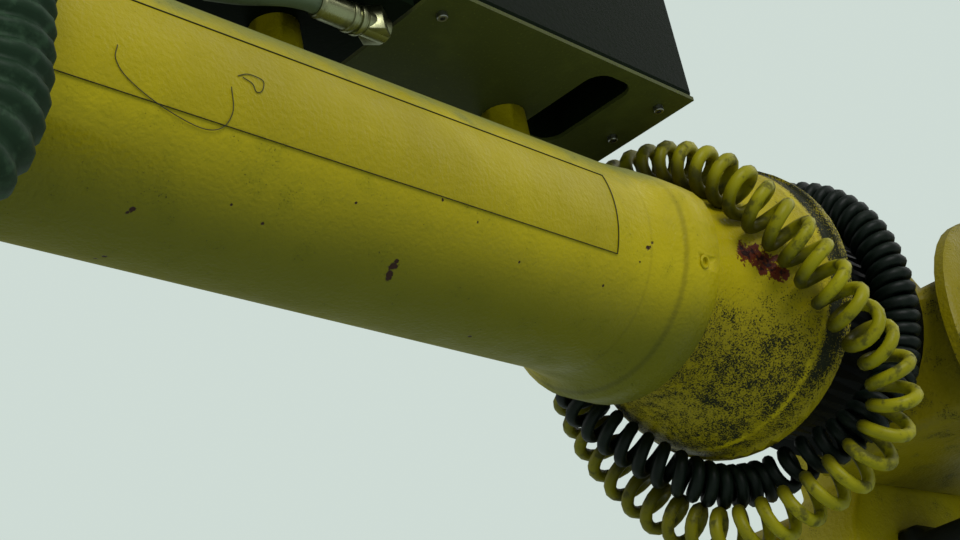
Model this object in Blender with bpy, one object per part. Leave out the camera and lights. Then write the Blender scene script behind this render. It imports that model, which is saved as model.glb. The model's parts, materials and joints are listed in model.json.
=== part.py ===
"""Six-axis industrial robot arm on its floor plate, forearm level and lower arm upright.

Metres. +Z is up and +X points from the base towards the wrist. The origin is on the floor,
on the axis that the turret turns about.
"""

import math

import bmesh
import bpy
from mathutils import Vector

# Fits shared by the whole robot
SEAT_GAP = 0.0003
PIVOT_GAP = 0.0005
CUT_OVERRUN = 0.01
ROUND_STEPS = 40
SMALL_ROUND_STEPS = 24
SHARP_ANGLE = math.radians(35)
BOXY = 7.0
SQUARISH = 3.6
ROUND = 2.0

# Where the three moving axes lie
SHOULDER_FORWARD = 0.312
SHOULDER_HEIGHT = 0.670
LOWER_ARM_LENGTH = 1.075
FOREARM_RISE = 0.225
RIM_REACH = 0.360
WRIST_LEAD = 0.1247

# Floor plate and base casting
FLOOR_PLATE_SIDE = 0.66
FLOOR_PLATE_THICKNESS = 0.030
FLOOR_PLATE_CORNER = 0.09
BASE_FOOT_SIDE = 0.56
BASE_TOP_RADIUS = 0.250
BASE_HEIGHT = 0.235
BASE_WAIST_SHARE = 0.90
BASE_FOOT_SHARE = 1 / 6
BASE_WAIST_LOW_SHARE = 1 / 2
BASE_WAIST_HIGH_SHARE = 4 / 5
BASE_COLLAR_SHARE = 7 / 8
FLOOR_BOLT_RADIUS = 0.016
FLOOR_BOLT_INSET = 0.062
CONNECTOR_BOX_DEPTH = 0.110
CONNECTOR_BOX_WIDTH = 0.300
CONNECTOR_BOX_HEIGHT = 0.150
CONNECTOR_BOX_CORNER = 0.008
CONNECTOR_BOX_BEVEL = 0.004

# Slew ring and turret
SLEW_RING_RADIUS = 0.268
SLEW_RING_HEIGHT = 0.050
SLEW_GROOVE_DEPTH = 0.010
SLEW_GROOVE_SHARES = (0.4, 0.5, 0.7)
TURRET_PLATE_RADIUS = 0.260
TURRET_PLATE_HEIGHT = 0.050
TURRET_PLATE_CHAMFER = 0.0125
TURRET_HALF_WIDTH = 0.150
TURRET_REAR = 0.205
TURRET_TOE = 0.200
TURRET_SHOULDER_RADIUS = 0.172
TURRET_LEDGE_HEIGHT = 0.600
TURRET_LEDGE_LENGTH = 0.205
TURRET_BEVEL = 0.018

# Drive motors: body radius, body length, flange half side and flange thickness
BIG_MOTOR_RADIUS = 0.068
BIG_MOTOR_LENGTH = 0.210
BIG_MOTOR_FLANGE = 0.078
SMALL_MOTOR_RADIUS = 0.050
SMALL_MOTOR_LENGTH = 0.150
SMALL_MOTOR_FLANGE = 0.056
MOTOR_FLANGE_THICKNESS = 0.018
MOTOR_CAP_SHARE = 0.86
MOTOR_CAP_START_SHARE = 0.70
MOTOR_GROOVE_SHARE = 0.95
MOTOR_GROOVE = 0.006
MOTOR_GROOVE_FLANK_SHARE = 1 / 3
MOTOR_FLANGE_FLANK_SHARE = 1 / 2

# Reducers that carry the lower arm and the elbow
SHOULDER_REDUCER_RADIUS = 0.160
SHOULDER_REDUCER_LENGTH = 0.030
ELBOW_REDUCER_RADIUS = 0.110
ELBOW_REDUCER_LENGTH = 0.034
REDUCER_LIP_SHARE = 0.88
REDUCER_LIP = 0.006

# Lower arm casting, on the far side of the turret
LOWER_ARM_THICKNESS = 0.120
LOWER_ARM_FOOT_RADIUS = 0.180
LOWER_ARM_HEAD_RADIUS = 0.125
LOWER_ARM_BEVEL = 0.010
POCKET_DEPTH = 0.022
POCKET_RIM = 0.024
POCKET_CLEARANCE = 0.045
HUB_COVER_RADIUS_SHARE = 0.66
HUB_COVER_THICKNESS = 0.020
HUB_BOSS_SHARE = 0.45
HUB_BOSS_THICKNESS = 0.012

# Elbow: lug on the elbow axis and the casing beside it that carries the forearm
LUG_WIDTH = 0.092
LUG_RADIUS = 0.140
CASING_NEAR_SIDE = 0.145
GEARBOX_SPACE = 0.170
CASING_FRONT = RIM_REACH - GEARBOX_SPACE
CASING_REAR = 0.190
CASING_TOP_RISE = 0.075
CASING_BROW_RISE = 0.008
CASING_BROW_LENGTH = 0.157
CASING_UNDERSIDE_DROP = 0.130
CASING_UNDERSIDE_RISE = 0.115
CASING_CORNER = 0.040
CASING_BEVEL = 0.014
CASING_NECK_LENGTH = 0.114
CASING_NECK_REAR_RADIUS = 0.088
CASING_NECK_RADIUS = 0.118
LUG_SETBACK = 0.120
LUG_BEVEL = 0.007
LUG_ARC = (180, 420)
LUG_STEPS = 24
SIDE_COVER_RADIUS = 0.152
SIDE_COVER_SETBACK = 0.128
SIDE_COVER_DROP = 0.056
SIDE_COVER_THICKNESS = 0.016
SIDE_COVER_BOSS_SHARE = 0.62
SIDE_COVER_BOSS = 0.014
COVER_CHAMFER_SHARE = 1 / 3
MOTOR_PLATE_RADIUS = 0.140
MOTOR_PLATE_THICKNESS = 0.024
WRIST_MOTOR_CIRCLE = 0.075
WRIST_MOTOR_ANGLES = {"wrist_motor_upper": 90, "wrist_motor_left": -30, "wrist_motor_right": 210}

# Gearbox housing that turns the forearm, behind the rim
HOUSING_RADIUS = 0.104
HOUSING_FLANGE_RADIUS = 0.118
HOUSING_FLANGE_LENGTH = 0.022
HOUSING_COLLAR_RADIUS = 0.128
HOUSING_COLLAR_LENGTH = 0.022

# Forearm: rim, flared neck, shoulder ring and tube
RIM_RADIUS = 0.1425
RIM_LIP_LENGTH = 0.013
RIM_STEP = 0.0022
NECK_RADIUS = 0.0985
NECK_LENGTH = 0.156
FLARE_LENGTH = 0.118
FLARE_STEPS = 12
RING_RADIUS = 0.1125
RING_LENGTH = 0.040
RING_BLEND_LENGTH = 0.045
RING_CHAMFER = 0.005
RING_CHAMFER_LENGTH = 0.0067
RING_BLEND_SHARE = 1 / 3
TUBE_RADIUS = 0.095
TUBE_LENGTH = 0.704
TUBE_STEPS = 48
OIL_HOLE_RADIUS = 0.004
OIL_HOLE_DEPTH = 0.012
OIL_HOLE_ANGLE = math.radians(-19)
OIL_HOLE_PLACE_SHARE = 0.72

# Posts and equipment box above the tube
POST_RADIUS = 0.0205
POST_FOOT_RADIUS = 0.028
POST_FOOT_HEIGHT = 0.016
POST_PLACES = {"box_post_rear": 0.278, "box_post_front": 0.541}
POST_SINK = 0.010
BOX_UNDERSIDE = 0.143
BOX_START = 0.133
BOX_LENGTH = 0.325
BOX_HALF_WIDTH = 0.109
BOX_HEIGHT = 0.150
BOX_BEVEL = 0.004
BOX_PLATE_THICKNESS = 0.004
BOX_LID_THICKNESS = 0.012
BOX_LID_OVERHANG = 0.004
BOX_LID_BEVEL = 0.003
SLOT_START = 0.067
SLOT_WIDTH = 0.052
SLOT_NEAR_MARGIN = 0.014
SLOT_LENGTH = 0.108
SLOT_DEPTH = 0.070
SLOT_CORNER_SHARE = 1 / 3

# Bracket plate ahead of the box, with the air fitting under it
BRACKET_GAP = 0.004
BRACKET_LENGTH = 0.220
BRACKET_HALF_WIDTH = 0.080
BRACKET_THICKNESS = 0.008
BRACKET_FLANGE = 0.040
FITTING_INSET = 0.020
FITTING_SIDE = 0.037
FITTING_RADIUS = 0.0115
FITTING_BEND = 0.013
FITTING_LEAD = 0.003
FITTING_RUN = 0.034
FITTING_NUT_RADIUS = 0.0150
FITTING_NUT_LENGTH = 0.008
FITTING_NUT_SIDES = 6
FITTING_CORNER_STEPS = 8
AIR_PIPE_RADIUS = 0.0090
AIR_PIPE_LENGTH = 0.110

# Wrist
WRIST_HALF_WIDTH = 0.105
WRIST_HALF_HEIGHT = 0.088
WRIST_CHEEK_GAP = 0.058
WRIST_THROAT = 0.085
WRIST_BEVEL = 0.010
WRIST_COVER_RADIUS = 0.070
WRIST_COVER_THICKNESS = 0.014
WRIST_UNIT_RADIUS = 0.066
WRIST_UNIT_CLEARANCE = 0.0006
WRIST_NOSE_START = 0.098
WRIST_NOSE_RADIUS = 0.060
TOOL_FLANGE_REACH = 0.215
TOOL_FLANGE_RADIUS = 0.0625
TOOL_FLANGE_THICKNESS = 0.020
TOOL_PILOT_RADIUS = 0.040
TOOL_PILOT_DEPTH = 0.006

# Curly cords and wrist hose, and the blocks that hold their ends
YELLOW_COIL_RADIUS = 0.026
BLACK_COIL_RADIUS = 0.0225
HOSE_RADIUS = 0.030
CORD_SIDES = 3
CORD_STEPS = 2
CORD_ANCHOR_START = 0.131
CORD_ANCHOR_LENGTH = 0.024
CORD_ANCHOR_REACH = 0.2165
CORD_ANCHOR_HALF = 0.012
CORD_CLAMP_ANGLE = math.radians(118)
CORD_CLAMP_START = 0.012
CORD_CLAMP_DEPTH = 0.030
CORD_CLAMP_MIDDLE = -0.100
CORD_CLAMP_HALF = 0.028
CORD_CLAMP_RADIUS = 0.136
CORD_CLAMP_NECK = 0.060
CORD_CLAMP_ARM_RADII = (0.1325, 0.150)
HOSE_CLAMP_LENGTH = 0.030
HOSE_CLAMP_HALF = 0.037
HOSE_CLAMP_CORNER = 0.004
CLAMP_BEVEL = 0.0025
UPPER_HOSE_CLAMP_SIDE = 0.020

# Route of each cord's middle line, from the rim's centre: along, near side, up
YELLOW_ROUTE = (
    (0.1325, -0.078, 0.190),
    (0.128, -0.078, 0.190),
    (0.117, -0.078, 0.190),
    (0.101, -0.069, 0.183),
    (0.086, -0.045, 0.166),
    (0.078, -0.005, 0.153),
    (0.080, 0.033, 0.144),
    (0.084, 0.070, 0.126),
    (0.083, 0.107, 0.097),
    (0.081, 0.137, 0.052),
    (0.076, 0.149, 0.004),
    (0.056, 0.152, -0.048),
    (0.028, 0.147, -0.083),
    (-0.002, 0.147, -0.112),
    (-0.016, 0.134, -0.150),
    (-0.018, 0.098, -0.180),
    (-0.011, 0.046, -0.197),
    (0.000, -0.006, -0.211),
    (0.022, -0.060, -0.215),
    (0.048, -0.099, -0.188),
    (0.068, -0.130, -0.142),
    (0.090, -0.154, -0.101),
    (0.116, -0.178, -0.060),
    (0.141, -0.1865, -0.034),
    (0.143, -0.1865, -0.026),
    (0.143, -0.1865, -0.018),
    (0.143, -0.1865, -0.0125),
)
BLACK_ROUTE = (
    (0.143, -0.135, -0.0125),
    (0.143, -0.135, -0.018),
    (0.143, -0.135, -0.026),
    (0.136, -0.131, -0.038),
    (0.104, -0.112, -0.070),
    (0.078, -0.085, -0.1165),
    (0.040, -0.064, -0.149),
    (0.006, -0.045, -0.1625),
    (-0.030, -0.018, -0.160),
    (-0.036, 0.026, -0.1535),
    (-0.042, 0.062, -0.148),
    (-0.050, 0.085, -0.137),
    (-0.062, 0.099, -0.124),
    (-0.076, 0.106, -0.112),
    (-0.088, 0.110, -0.098),
    (-0.096, 0.118, -0.078),
    (-0.100, 0.128, -0.047),
    (-0.100, 0.135, -0.019),
    (-0.100, 0.135, 0.014),
    (-0.100, 0.128, 0.047),
    (-0.100, 0.113, 0.076),
    (-0.100, 0.091, 0.101),
    (-0.100, 0.064, 0.120),
    (-0.100, 0.033, 0.132),
    (-0.100, 0.000, 0.136),
    (-0.100, -0.024, 0.134),
    (-0.100, -0.047, 0.128),
    (-0.100, -0.0638, 0.1201),
    (-0.100, -0.0691, 0.1173),
    (-0.100, -0.0744, 0.1145),
)
# The hose's first number is a share of the way from the bracket's front end to the clamp under the wrist
HOSE_ROUTE = (
    (0.0000, 0.020, 0.195),
    (0.0430, 0.020, 0.195),
    (0.1017, 0.020, 0.195),
    (0.2265, 0.034, 0.192),
    (0.4027, 0.070, 0.175),
    (0.5496, 0.105, 0.140),
    (0.6340, 0.131, 0.090),
    (0.6707, 0.140, 0.040),
    (0.6854, 0.141, -0.006),
    (0.7148, 0.141, -0.051),
    (0.7258, 0.140, -0.085),
    (0.7405, 0.139, -0.113),
    (0.7735, 0.136, -0.143),
    (0.8286, 0.129, -0.165),
    (0.8873, 0.120, -0.175),
    (0.9424, 0.115, -0.178),
    (0.9754, 0.115, -0.178),
    (1.0000, 0.115, -0.178),
)

# Paint and materials: colour, roughness, metallic
FINISHES = {
    "robot_yellow": ((0.43, 0.33, 0.008), 0.42, 0.0),
    "machine_black": ((0.022, 0.024, 0.024), 0.50, 0.0),
    "box_olive": ((0.050, 0.046, 0.026), 0.45, 0.3),
    "bare_steel": ((0.46, 0.45, 0.42), 0.35, 1.0),
    "black_cord": ((0.015, 0.018, 0.017), 0.48, 0.0),
    "yellow_cord": ((0.44, 0.40, 0.020), 0.38, 0.0),
    "green_hose": ((0.020, 0.040, 0.030), 0.50, 0.0),
}


def clear_scene():
    for old in list(bpy.data.objects):
        bpy.data.objects.remove(old, do_unlink=True)


def make_material(name):
    colour, roughness, metallic = FINISHES[name]
    material = bpy.data.materials.new(name)
    material.use_nodes = True
    shader = material.node_tree.nodes["Principled BSDF"]
    shader.inputs["Base Color"].default_value = (*colour, 1)
    shader.inputs["Roughness"].default_value = roughness
    shader.inputs["Metallic"].default_value = metallic
    return material


def add_pivot(name, place, parent=None):
    pivot = bpy.data.objects.new(name, None)
    bpy.context.collection.objects.link(pivot)
    pivot.parent = parent
    pivot.location = place
    return pivot


def add_object(name, data, finish, parent=None, place=(0, 0, 0), turn=(0, 0, 0)):
    piece = bpy.data.objects.new(name, data)
    bpy.context.collection.objects.link(piece)
    piece.parent = parent
    piece.location = place
    piece.rotation_euler = turn
    if finish:
        piece.data.materials.append(make_material(finish))
        piece.data.materials[0].name = name + "_finish"
    return piece


def mesh_from(bm, name, weld=0.0):
    if weld:
        bmesh.ops.remove_doubles(bm, verts=bm.verts, dist=weld)
    bmesh.ops.recalc_face_normals(bm, faces=bm.faces)
    mesh = bpy.data.meshes.new(name)
    bm.to_mesh(mesh)
    bm.free()
    mesh.shade_smooth()
    mesh.set_sharp_from_angle(angle=SHARP_ANGLE)
    return mesh


def add_bevel(piece, width, segments=2):
    bevel = piece.modifiers.new("edge rounding", "BEVEL")
    bevel.width = width
    bevel.segments = segments
    bevel.limit_method = "ANGLE"
    bevel.angle_limit = SHARP_ANGLE
    return bevel


def cut_with(piece, cutter, operation="DIFFERENCE"):
    cutter.hide_render = True
    cutter.display_type = "WIRE"
    cut = piece.modifiers.new("cut", "BOOLEAN")
    cut.operation = operation
    cut.solver = "EXACT"
    cut.object = cutter


def loop_points(half_a, half_b, power, steps):
    """Points of a rounded outline: power 2 is an ellipse, and higher powers are squarer."""
    points = []
    for step in range(steps):
        angle = math.tau * step / steps
        along = math.copysign(abs(math.cos(angle)) ** (2 / power), math.cos(angle))
        across = math.copysign(abs(math.sin(angle)) ** (2 / power), math.sin(angle))
        points.append((half_a * along, half_b * across))
    return points


def stacked_mesh(name, sections, steps=ROUND_STEPS):
    """A body lofted up +Z through sections of (height, half a, half b, power)."""
    bm = bmesh.new()
    rings = []
    for height, half_a, half_b, power in sections:
        rings.append([bm.verts.new((a, b, height)) for a, b in loop_points(half_a, half_b, power, steps)])
    for lower, upper in zip(rings, rings[1:]):
        for i in range(steps):
            j = (i + 1) % steps
            bm.faces.new((lower[i], lower[j], upper[j], upper[i]))
    bm.faces.new(rings[0])
    bm.faces.new(rings[-1])
    return mesh_from(bm, name)


def turned_mesh(name, profile, steps=ROUND_STEPS):
    """A turned body on the Z axis, from a profile of (height, radius) that starts and ends at 0."""
    bm = bmesh.new()
    corners = [bm.verts.new((radius, 0, height)) for height, radius in profile]
    edges = [bm.edges.new(pair) for pair in zip(corners, corners[1:])]
    bmesh.ops.spin(
        bm, geom=corners + edges, cent=(0, 0, 0), axis=(0, 0, 1),
        angle=math.tau, steps=steps, use_merge=True,
    )
    return mesh_from(bm, name, weld=SEAT_GAP / ROUND_STEPS)


def extruded_mesh(name, corners, pull):
    """A flat outline of 3-D corners, pulled into a solid."""
    bm = bmesh.new()
    face = bm.faces.new([bm.verts.new(corner) for corner in corners])
    pulled = bmesh.ops.extrude_face_region(bm, geom=[face])["geom"]
    moved = [item for item in pulled if isinstance(item, bmesh.types.BMVert)]
    bmesh.ops.translate(bm, verts=moved, vec=pull)
    return mesh_from(bm, name)


def prism_mesh(name, outline, start, depth):
    """An outline in X and Z, pulled from start along +Y by depth."""
    return extruded_mesh(name, [(x, start, z) for x, z in outline], (0, depth, 0))


def plate_mesh(name, outline, start, depth):
    """An outline in X and Y, pulled from start along +Z by depth."""
    return extruded_mesh(name, [(x, y, start) for x, y in outline], (0, 0, depth))


def arc(centre, radius, start, end, steps):
    """Points of an arc in degrees, both ends included."""
    points = []
    for step in range(steps + 1):
        angle = math.radians(start + (end - start) * step / steps)
        points.append((centre[0] + radius * math.cos(angle), centre[1] + radius * math.sin(angle)))
    return points


def rounded_box_outline(low, high, corner, steps=5):
    points = []
    points += arc((high[0] - corner, high[1] - corner), corner, 0, 90, steps)
    points += arc((low[0] + corner, high[1] - corner), corner, 90, 180, steps)
    points += arc((low[0] + corner, low[1] + corner), corner, 180, 270, steps)
    points += arc((high[0] - corner, low[1] + corner), corner, 270, 360, steps)
    return points


def two_circle_outline(low_radius, high_radius, length, steps=14):
    """Two circles, at 0 and at length up Z, joined by their outer tangents."""
    lean = math.degrees(math.asin((low_radius - high_radius) / length))
    points = arc((0, 0), low_radius, 180 - lean, 360 + lean, steps * 2)
    points += arc((0, length), high_radius, lean, 180 - lean, steps)
    return points


def smooth_route(route, steps=CORD_STEPS):
    """A smooth curve through a route's points, with steps between each two of them."""
    knots = [Vector(point) for point in route]
    knots = [2 * knots[0] - knots[1]] + knots + [2 * knots[-1] - knots[-2]]
    points = []
    for a, b, c, d in zip(knots, knots[1:], knots[2:], knots[3:]):
        for step in range(steps):
            t = step / steps
            points.append(
                b + (c - a) * (t / 2) + (a - 2.5 * b + 2 * c - d / 2) * t**2
                + (b * 1.5 - c * 1.5 + d / 2 - a / 2) * t**3
            )
    return points + [knots[-2]]


def tube_curve(name, points, radius, resolution=CORD_SIDES):
    curve = bpy.data.curves.new(name, "CURVE")
    curve.dimensions = "3D"
    curve.bevel_depth = radius
    curve.bevel_resolution = resolution
    curve.use_fill_caps = True
    spline = curve.splines.new("POLY")
    spline.points.add(len(points) - 1)
    for slot, point in zip(spline.points, points):
        slot.co = (*point, 1)
    return curve


ALONG_X = (0, math.radians(90), 0)
ALONG_MINUS_X = (0, math.radians(-90), 0)
ALONG_Y = (math.radians(-90), 0, 0)
ALONG_MINUS_Y = (math.radians(90), 0, 0)


def motor_mesh(name, radius, length, flange):
    """A servo motor standing on its square flange, with a grooved cap at its far end."""
    cap_start = MOTOR_FLANGE_THICKNESS + (length - MOTOR_FLANGE_THICKNESS) * MOTOR_CAP_START_SHARE
    groove = radius * MOTOR_GROOVE_SHARE
    cap = radius * MOTOR_CAP_SHARE
    return stacked_mesh(
        name,
        (
            (0, flange, flange, BOXY),
            (MOTOR_FLANGE_THICKNESS, flange, flange, BOXY),
            (MOTOR_FLANGE_THICKNESS + MOTOR_GROOVE * MOTOR_FLANGE_FLANK_SHARE, radius, radius, SQUARISH),
            (cap_start, radius, radius, SQUARISH),
            (cap_start + MOTOR_GROOVE * MOTOR_GROOVE_FLANK_SHARE, groove, groove, SQUARISH),
            (cap_start + MOTOR_GROOVE, groove, groove, SQUARISH),
            (cap_start + MOTOR_GROOVE * (1 + MOTOR_GROOVE_FLANK_SHARE), radius, radius, SQUARISH),
            (length - MOTOR_GROOVE, radius, radius, SQUARISH),
            (length, cap, cap, SQUARISH),
        ),
        SMALL_ROUND_STEPS,
    )


def reducer_mesh(name, radius, length):
    lip = radius * REDUCER_LIP_SHARE
    return turned_mesh(
        name,
        ((0, 0), (0, radius), (length - REDUCER_LIP, radius), (length - REDUCER_LIP, lip),
         (length, lip), (length, 0)),
    )


def cover_mesh(name, radius, thickness, boss_radius, boss_thickness):
    """A round cover with a raised boss in its middle and a chamfered edge."""
    chamfer = thickness * COVER_CHAMFER_SHARE
    return turned_mesh(
        name,
        ((0, 0), (0, radius), (thickness - chamfer, radius), (thickness, radius - chamfer),
         (thickness, boss_radius), (thickness + boss_thickness, boss_radius - chamfer),
         (thickness + boss_thickness, 0)),
    )


def build_base():
    half = FLOOR_PLATE_SIDE / 2
    plate = add_object(
        "floor_plate",
        plate_mesh("floor_plate", rounded_box_outline((-half, -half), (half, half), FLOOR_PLATE_CORNER),
                   0, FLOOR_PLATE_THICKNESS),
        "robot_yellow",
    )
    bolt = turned_mesh(
        "floor_bolt_hole",
        ((-CUT_OVERRUN, 0), (-CUT_OVERRUN, FLOOR_BOLT_RADIUS),
         (FLOOR_PLATE_THICKNESS + CUT_OVERRUN, FLOOR_BOLT_RADIUS),
         (FLOOR_PLATE_THICKNESS + CUT_OVERRUN, 0)),
        SMALL_ROUND_STEPS,
    )
    for side_x in (-1, 1):
        for side_y in (-1, 1):
            place = (side_x * (half - FLOOR_BOLT_INSET), side_y * (half - FLOOR_BOLT_INSET), 0)
            cut_with(plate, add_object("floor_bolt_cutter", bolt, None, place=place))

    foot = BASE_FOOT_SIDE / 2
    waist = BASE_TOP_RADIUS * BASE_WAIST_SHARE
    base_bottom = FLOOR_PLATE_THICKNESS + SEAT_GAP
    base_top = base_bottom + BASE_HEIGHT
    casting = stacked_mesh(
        "base_casting",
        (
            (base_bottom, foot, foot, BOXY),
            (base_bottom + BASE_HEIGHT * BASE_FOOT_SHARE, foot, foot, BOXY),
            (base_bottom + BASE_HEIGHT * BASE_WAIST_LOW_SHARE, waist, waist, SQUARISH),
            (base_bottom + BASE_HEIGHT * BASE_WAIST_HIGH_SHARE, waist, waist, ROUND),
            (base_bottom + BASE_HEIGHT * BASE_COLLAR_SHARE, BASE_TOP_RADIUS, BASE_TOP_RADIUS, ROUND),
            (base_top, BASE_TOP_RADIUS, BASE_TOP_RADIUS, ROUND),
        ),
    )
    add_object("base_casting", casting, "robot_yellow")

    box_front = -foot - SEAT_GAP
    box_outline = rounded_box_outline(
        (box_front - CONNECTOR_BOX_DEPTH, -CONNECTOR_BOX_WIDTH / 2),
        (box_front, CONNECTOR_BOX_WIDTH / 2),
        CONNECTOR_BOX_CORNER,
    )
    box = add_object(
        "connector_box",
        plate_mesh("connector_box", box_outline, FLOOR_PLATE_THICKNESS + SEAT_GAP, CONNECTOR_BOX_HEIGHT),
        "robot_yellow",
    )
    add_bevel(box, CONNECTOR_BOX_BEVEL)

    ring_bottom = base_top + SEAT_GAP
    ring_top = ring_bottom + SLEW_RING_HEIGHT
    groove = SLEW_RING_RADIUS - SLEW_GROOVE_DEPTH
    groove_low, groove_floor, groove_high = SLEW_GROOVE_SHARES
    ring = turned_mesh(
        "slew_ring",
        (
            (ring_bottom, 0),
            (ring_bottom, SLEW_RING_RADIUS),
            (ring_bottom + SLEW_RING_HEIGHT * groove_low, SLEW_RING_RADIUS),
            (ring_bottom + SLEW_RING_HEIGHT * groove_floor, groove),
            (ring_bottom + SLEW_RING_HEIGHT * groove_high, groove),
            (ring_top, groove),
            (ring_top, 0),
        ),
    )
    add_object("slew_ring", ring, "machine_black")
    return ring_top


def build_turret(ring_top):
    plate_bottom = ring_top + SEAT_GAP
    plate_top = plate_bottom + TURRET_PLATE_HEIGHT
    plate = turned_mesh(
        "turret_plate",
        ((plate_bottom, 0), (plate_bottom, TURRET_PLATE_RADIUS),
         (plate_top - TURRET_PLATE_CHAMFER, TURRET_PLATE_RADIUS),
         (plate_top, TURRET_PLATE_RADIUS - TURRET_PLATE_CHAMFER), (plate_top, 0)),
    )
    add_object("turret_plate", plate, "robot_yellow")

    casting_bottom = plate_top + SEAT_GAP
    shoulder = (SHOULDER_FORWARD, SHOULDER_HEIGHT)
    ledge_end = TURRET_LEDGE_LENGTH - TURRET_REAR
    outline = [(-TURRET_REAR, casting_bottom), (TURRET_TOE, casting_bottom)]
    outline += arc(shoulder, TURRET_SHOULDER_RADIUS, -48, 112, 20)
    outline += [(ledge_end, TURRET_LEDGE_HEIGHT), (-TURRET_REAR, TURRET_LEDGE_HEIGHT)]
    casting = add_object(
        "turret_casting",
        prism_mesh("turret_casting", outline, -TURRET_HALF_WIDTH, 2 * TURRET_HALF_WIDTH),
        "robot_yellow",
    )
    add_bevel(casting, TURRET_BEVEL)

    add_object(
        "turret_motor",
        motor_mesh("turret_motor", BIG_MOTOR_RADIUS, BIG_MOTOR_LENGTH, BIG_MOTOR_FLANGE),
        "machine_black",
        place=((ledge_end - TURRET_REAR) / 2, 0, TURRET_LEDGE_HEIGHT + SEAT_GAP),
    )
    add_object(
        "shoulder_motor",
        motor_mesh("shoulder_motor", BIG_MOTOR_RADIUS, BIG_MOTOR_LENGTH, BIG_MOTOR_FLANGE),
        "machine_black",
        place=(SHOULDER_FORWARD, TURRET_HALF_WIDTH + SEAT_GAP, SHOULDER_HEIGHT),
        turn=ALONG_Y,
    )
    add_object(
        "shoulder_reducer",
        reducer_mesh("shoulder_reducer", SHOULDER_REDUCER_RADIUS, SHOULDER_REDUCER_LENGTH),
        "bare_steel",
        place=(SHOULDER_FORWARD, -TURRET_HALF_WIDTH - SEAT_GAP, SHOULDER_HEIGHT),
        turn=ALONG_MINUS_Y,
    )


def arm_near_face():
    """The lower arm's near face, seen as a distance to the far side of the robot's middle."""
    return -(TURRET_HALF_WIDTH + SEAT_GAP + SHOULDER_REDUCER_LENGTH + PIVOT_GAP)


def build_lower_arm(pivot):
    near = arm_near_face()
    far = near - LOWER_ARM_THICKNESS
    outline = two_circle_outline(LOWER_ARM_FOOT_RADIUS, LOWER_ARM_HEAD_RADIUS, LOWER_ARM_LENGTH)
    arm = add_object(
        "lower_arm", prism_mesh("lower_arm", outline, far, LOWER_ARM_THICKNESS), "robot_yellow", pivot
    )
    add_bevel(arm, LOWER_ARM_BEVEL)

    # A shallow pocket in each broad face, between the two hubs
    low = LOWER_ARM_FOOT_RADIUS + POCKET_CLEARANCE
    high = LOWER_ARM_LENGTH - LOWER_ARM_HEAD_RADIUS - POCKET_CLEARANCE
    slope = (LOWER_ARM_FOOT_RADIUS - LOWER_ARM_HEAD_RADIUS) / LOWER_ARM_LENGTH
    low_half = LOWER_ARM_FOOT_RADIUS - slope * low - POCKET_RIM * 2
    high_half = LOWER_ARM_FOOT_RADIUS - slope * high - POCKET_RIM * 2
    pocket = [(-low_half, low), (low_half, low), (high_half, high), (-high_half, high)]
    for name, start in (("near_pocket", near - POCKET_DEPTH), ("far_pocket", far - CUT_OVERRUN)):
        depth = POCKET_DEPTH + CUT_OVERRUN
        cutter = add_object(name, prism_mesh(name, pocket, start, depth), None, pivot)
        round_corners = cutter.modifiers.new("corner rounding", "BEVEL")
        round_corners.width = POCKET_RIM / 2
        round_corners.segments = 2
        cut_with(arm, cutter)

    for name, radius, height in (
        ("shoulder_hub_cover", LOWER_ARM_FOOT_RADIUS, 0),
        ("elbow_hub_cover", LOWER_ARM_HEAD_RADIUS, LOWER_ARM_LENGTH),
    ):
        cover = cover_mesh(
            name, radius * HUB_COVER_RADIUS_SHARE, HUB_COVER_THICKNESS,
            radius * HUB_BOSS_SHARE, HUB_BOSS_THICKNESS,
        )
        add_object(name, cover, "robot_yellow", pivot, (0, far - SEAT_GAP, height), ALONG_MINUS_Y)


def lug_far_face():
    return arm_near_face() + PIVOT_GAP + ELBOW_REDUCER_LENGTH + SEAT_GAP


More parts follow.
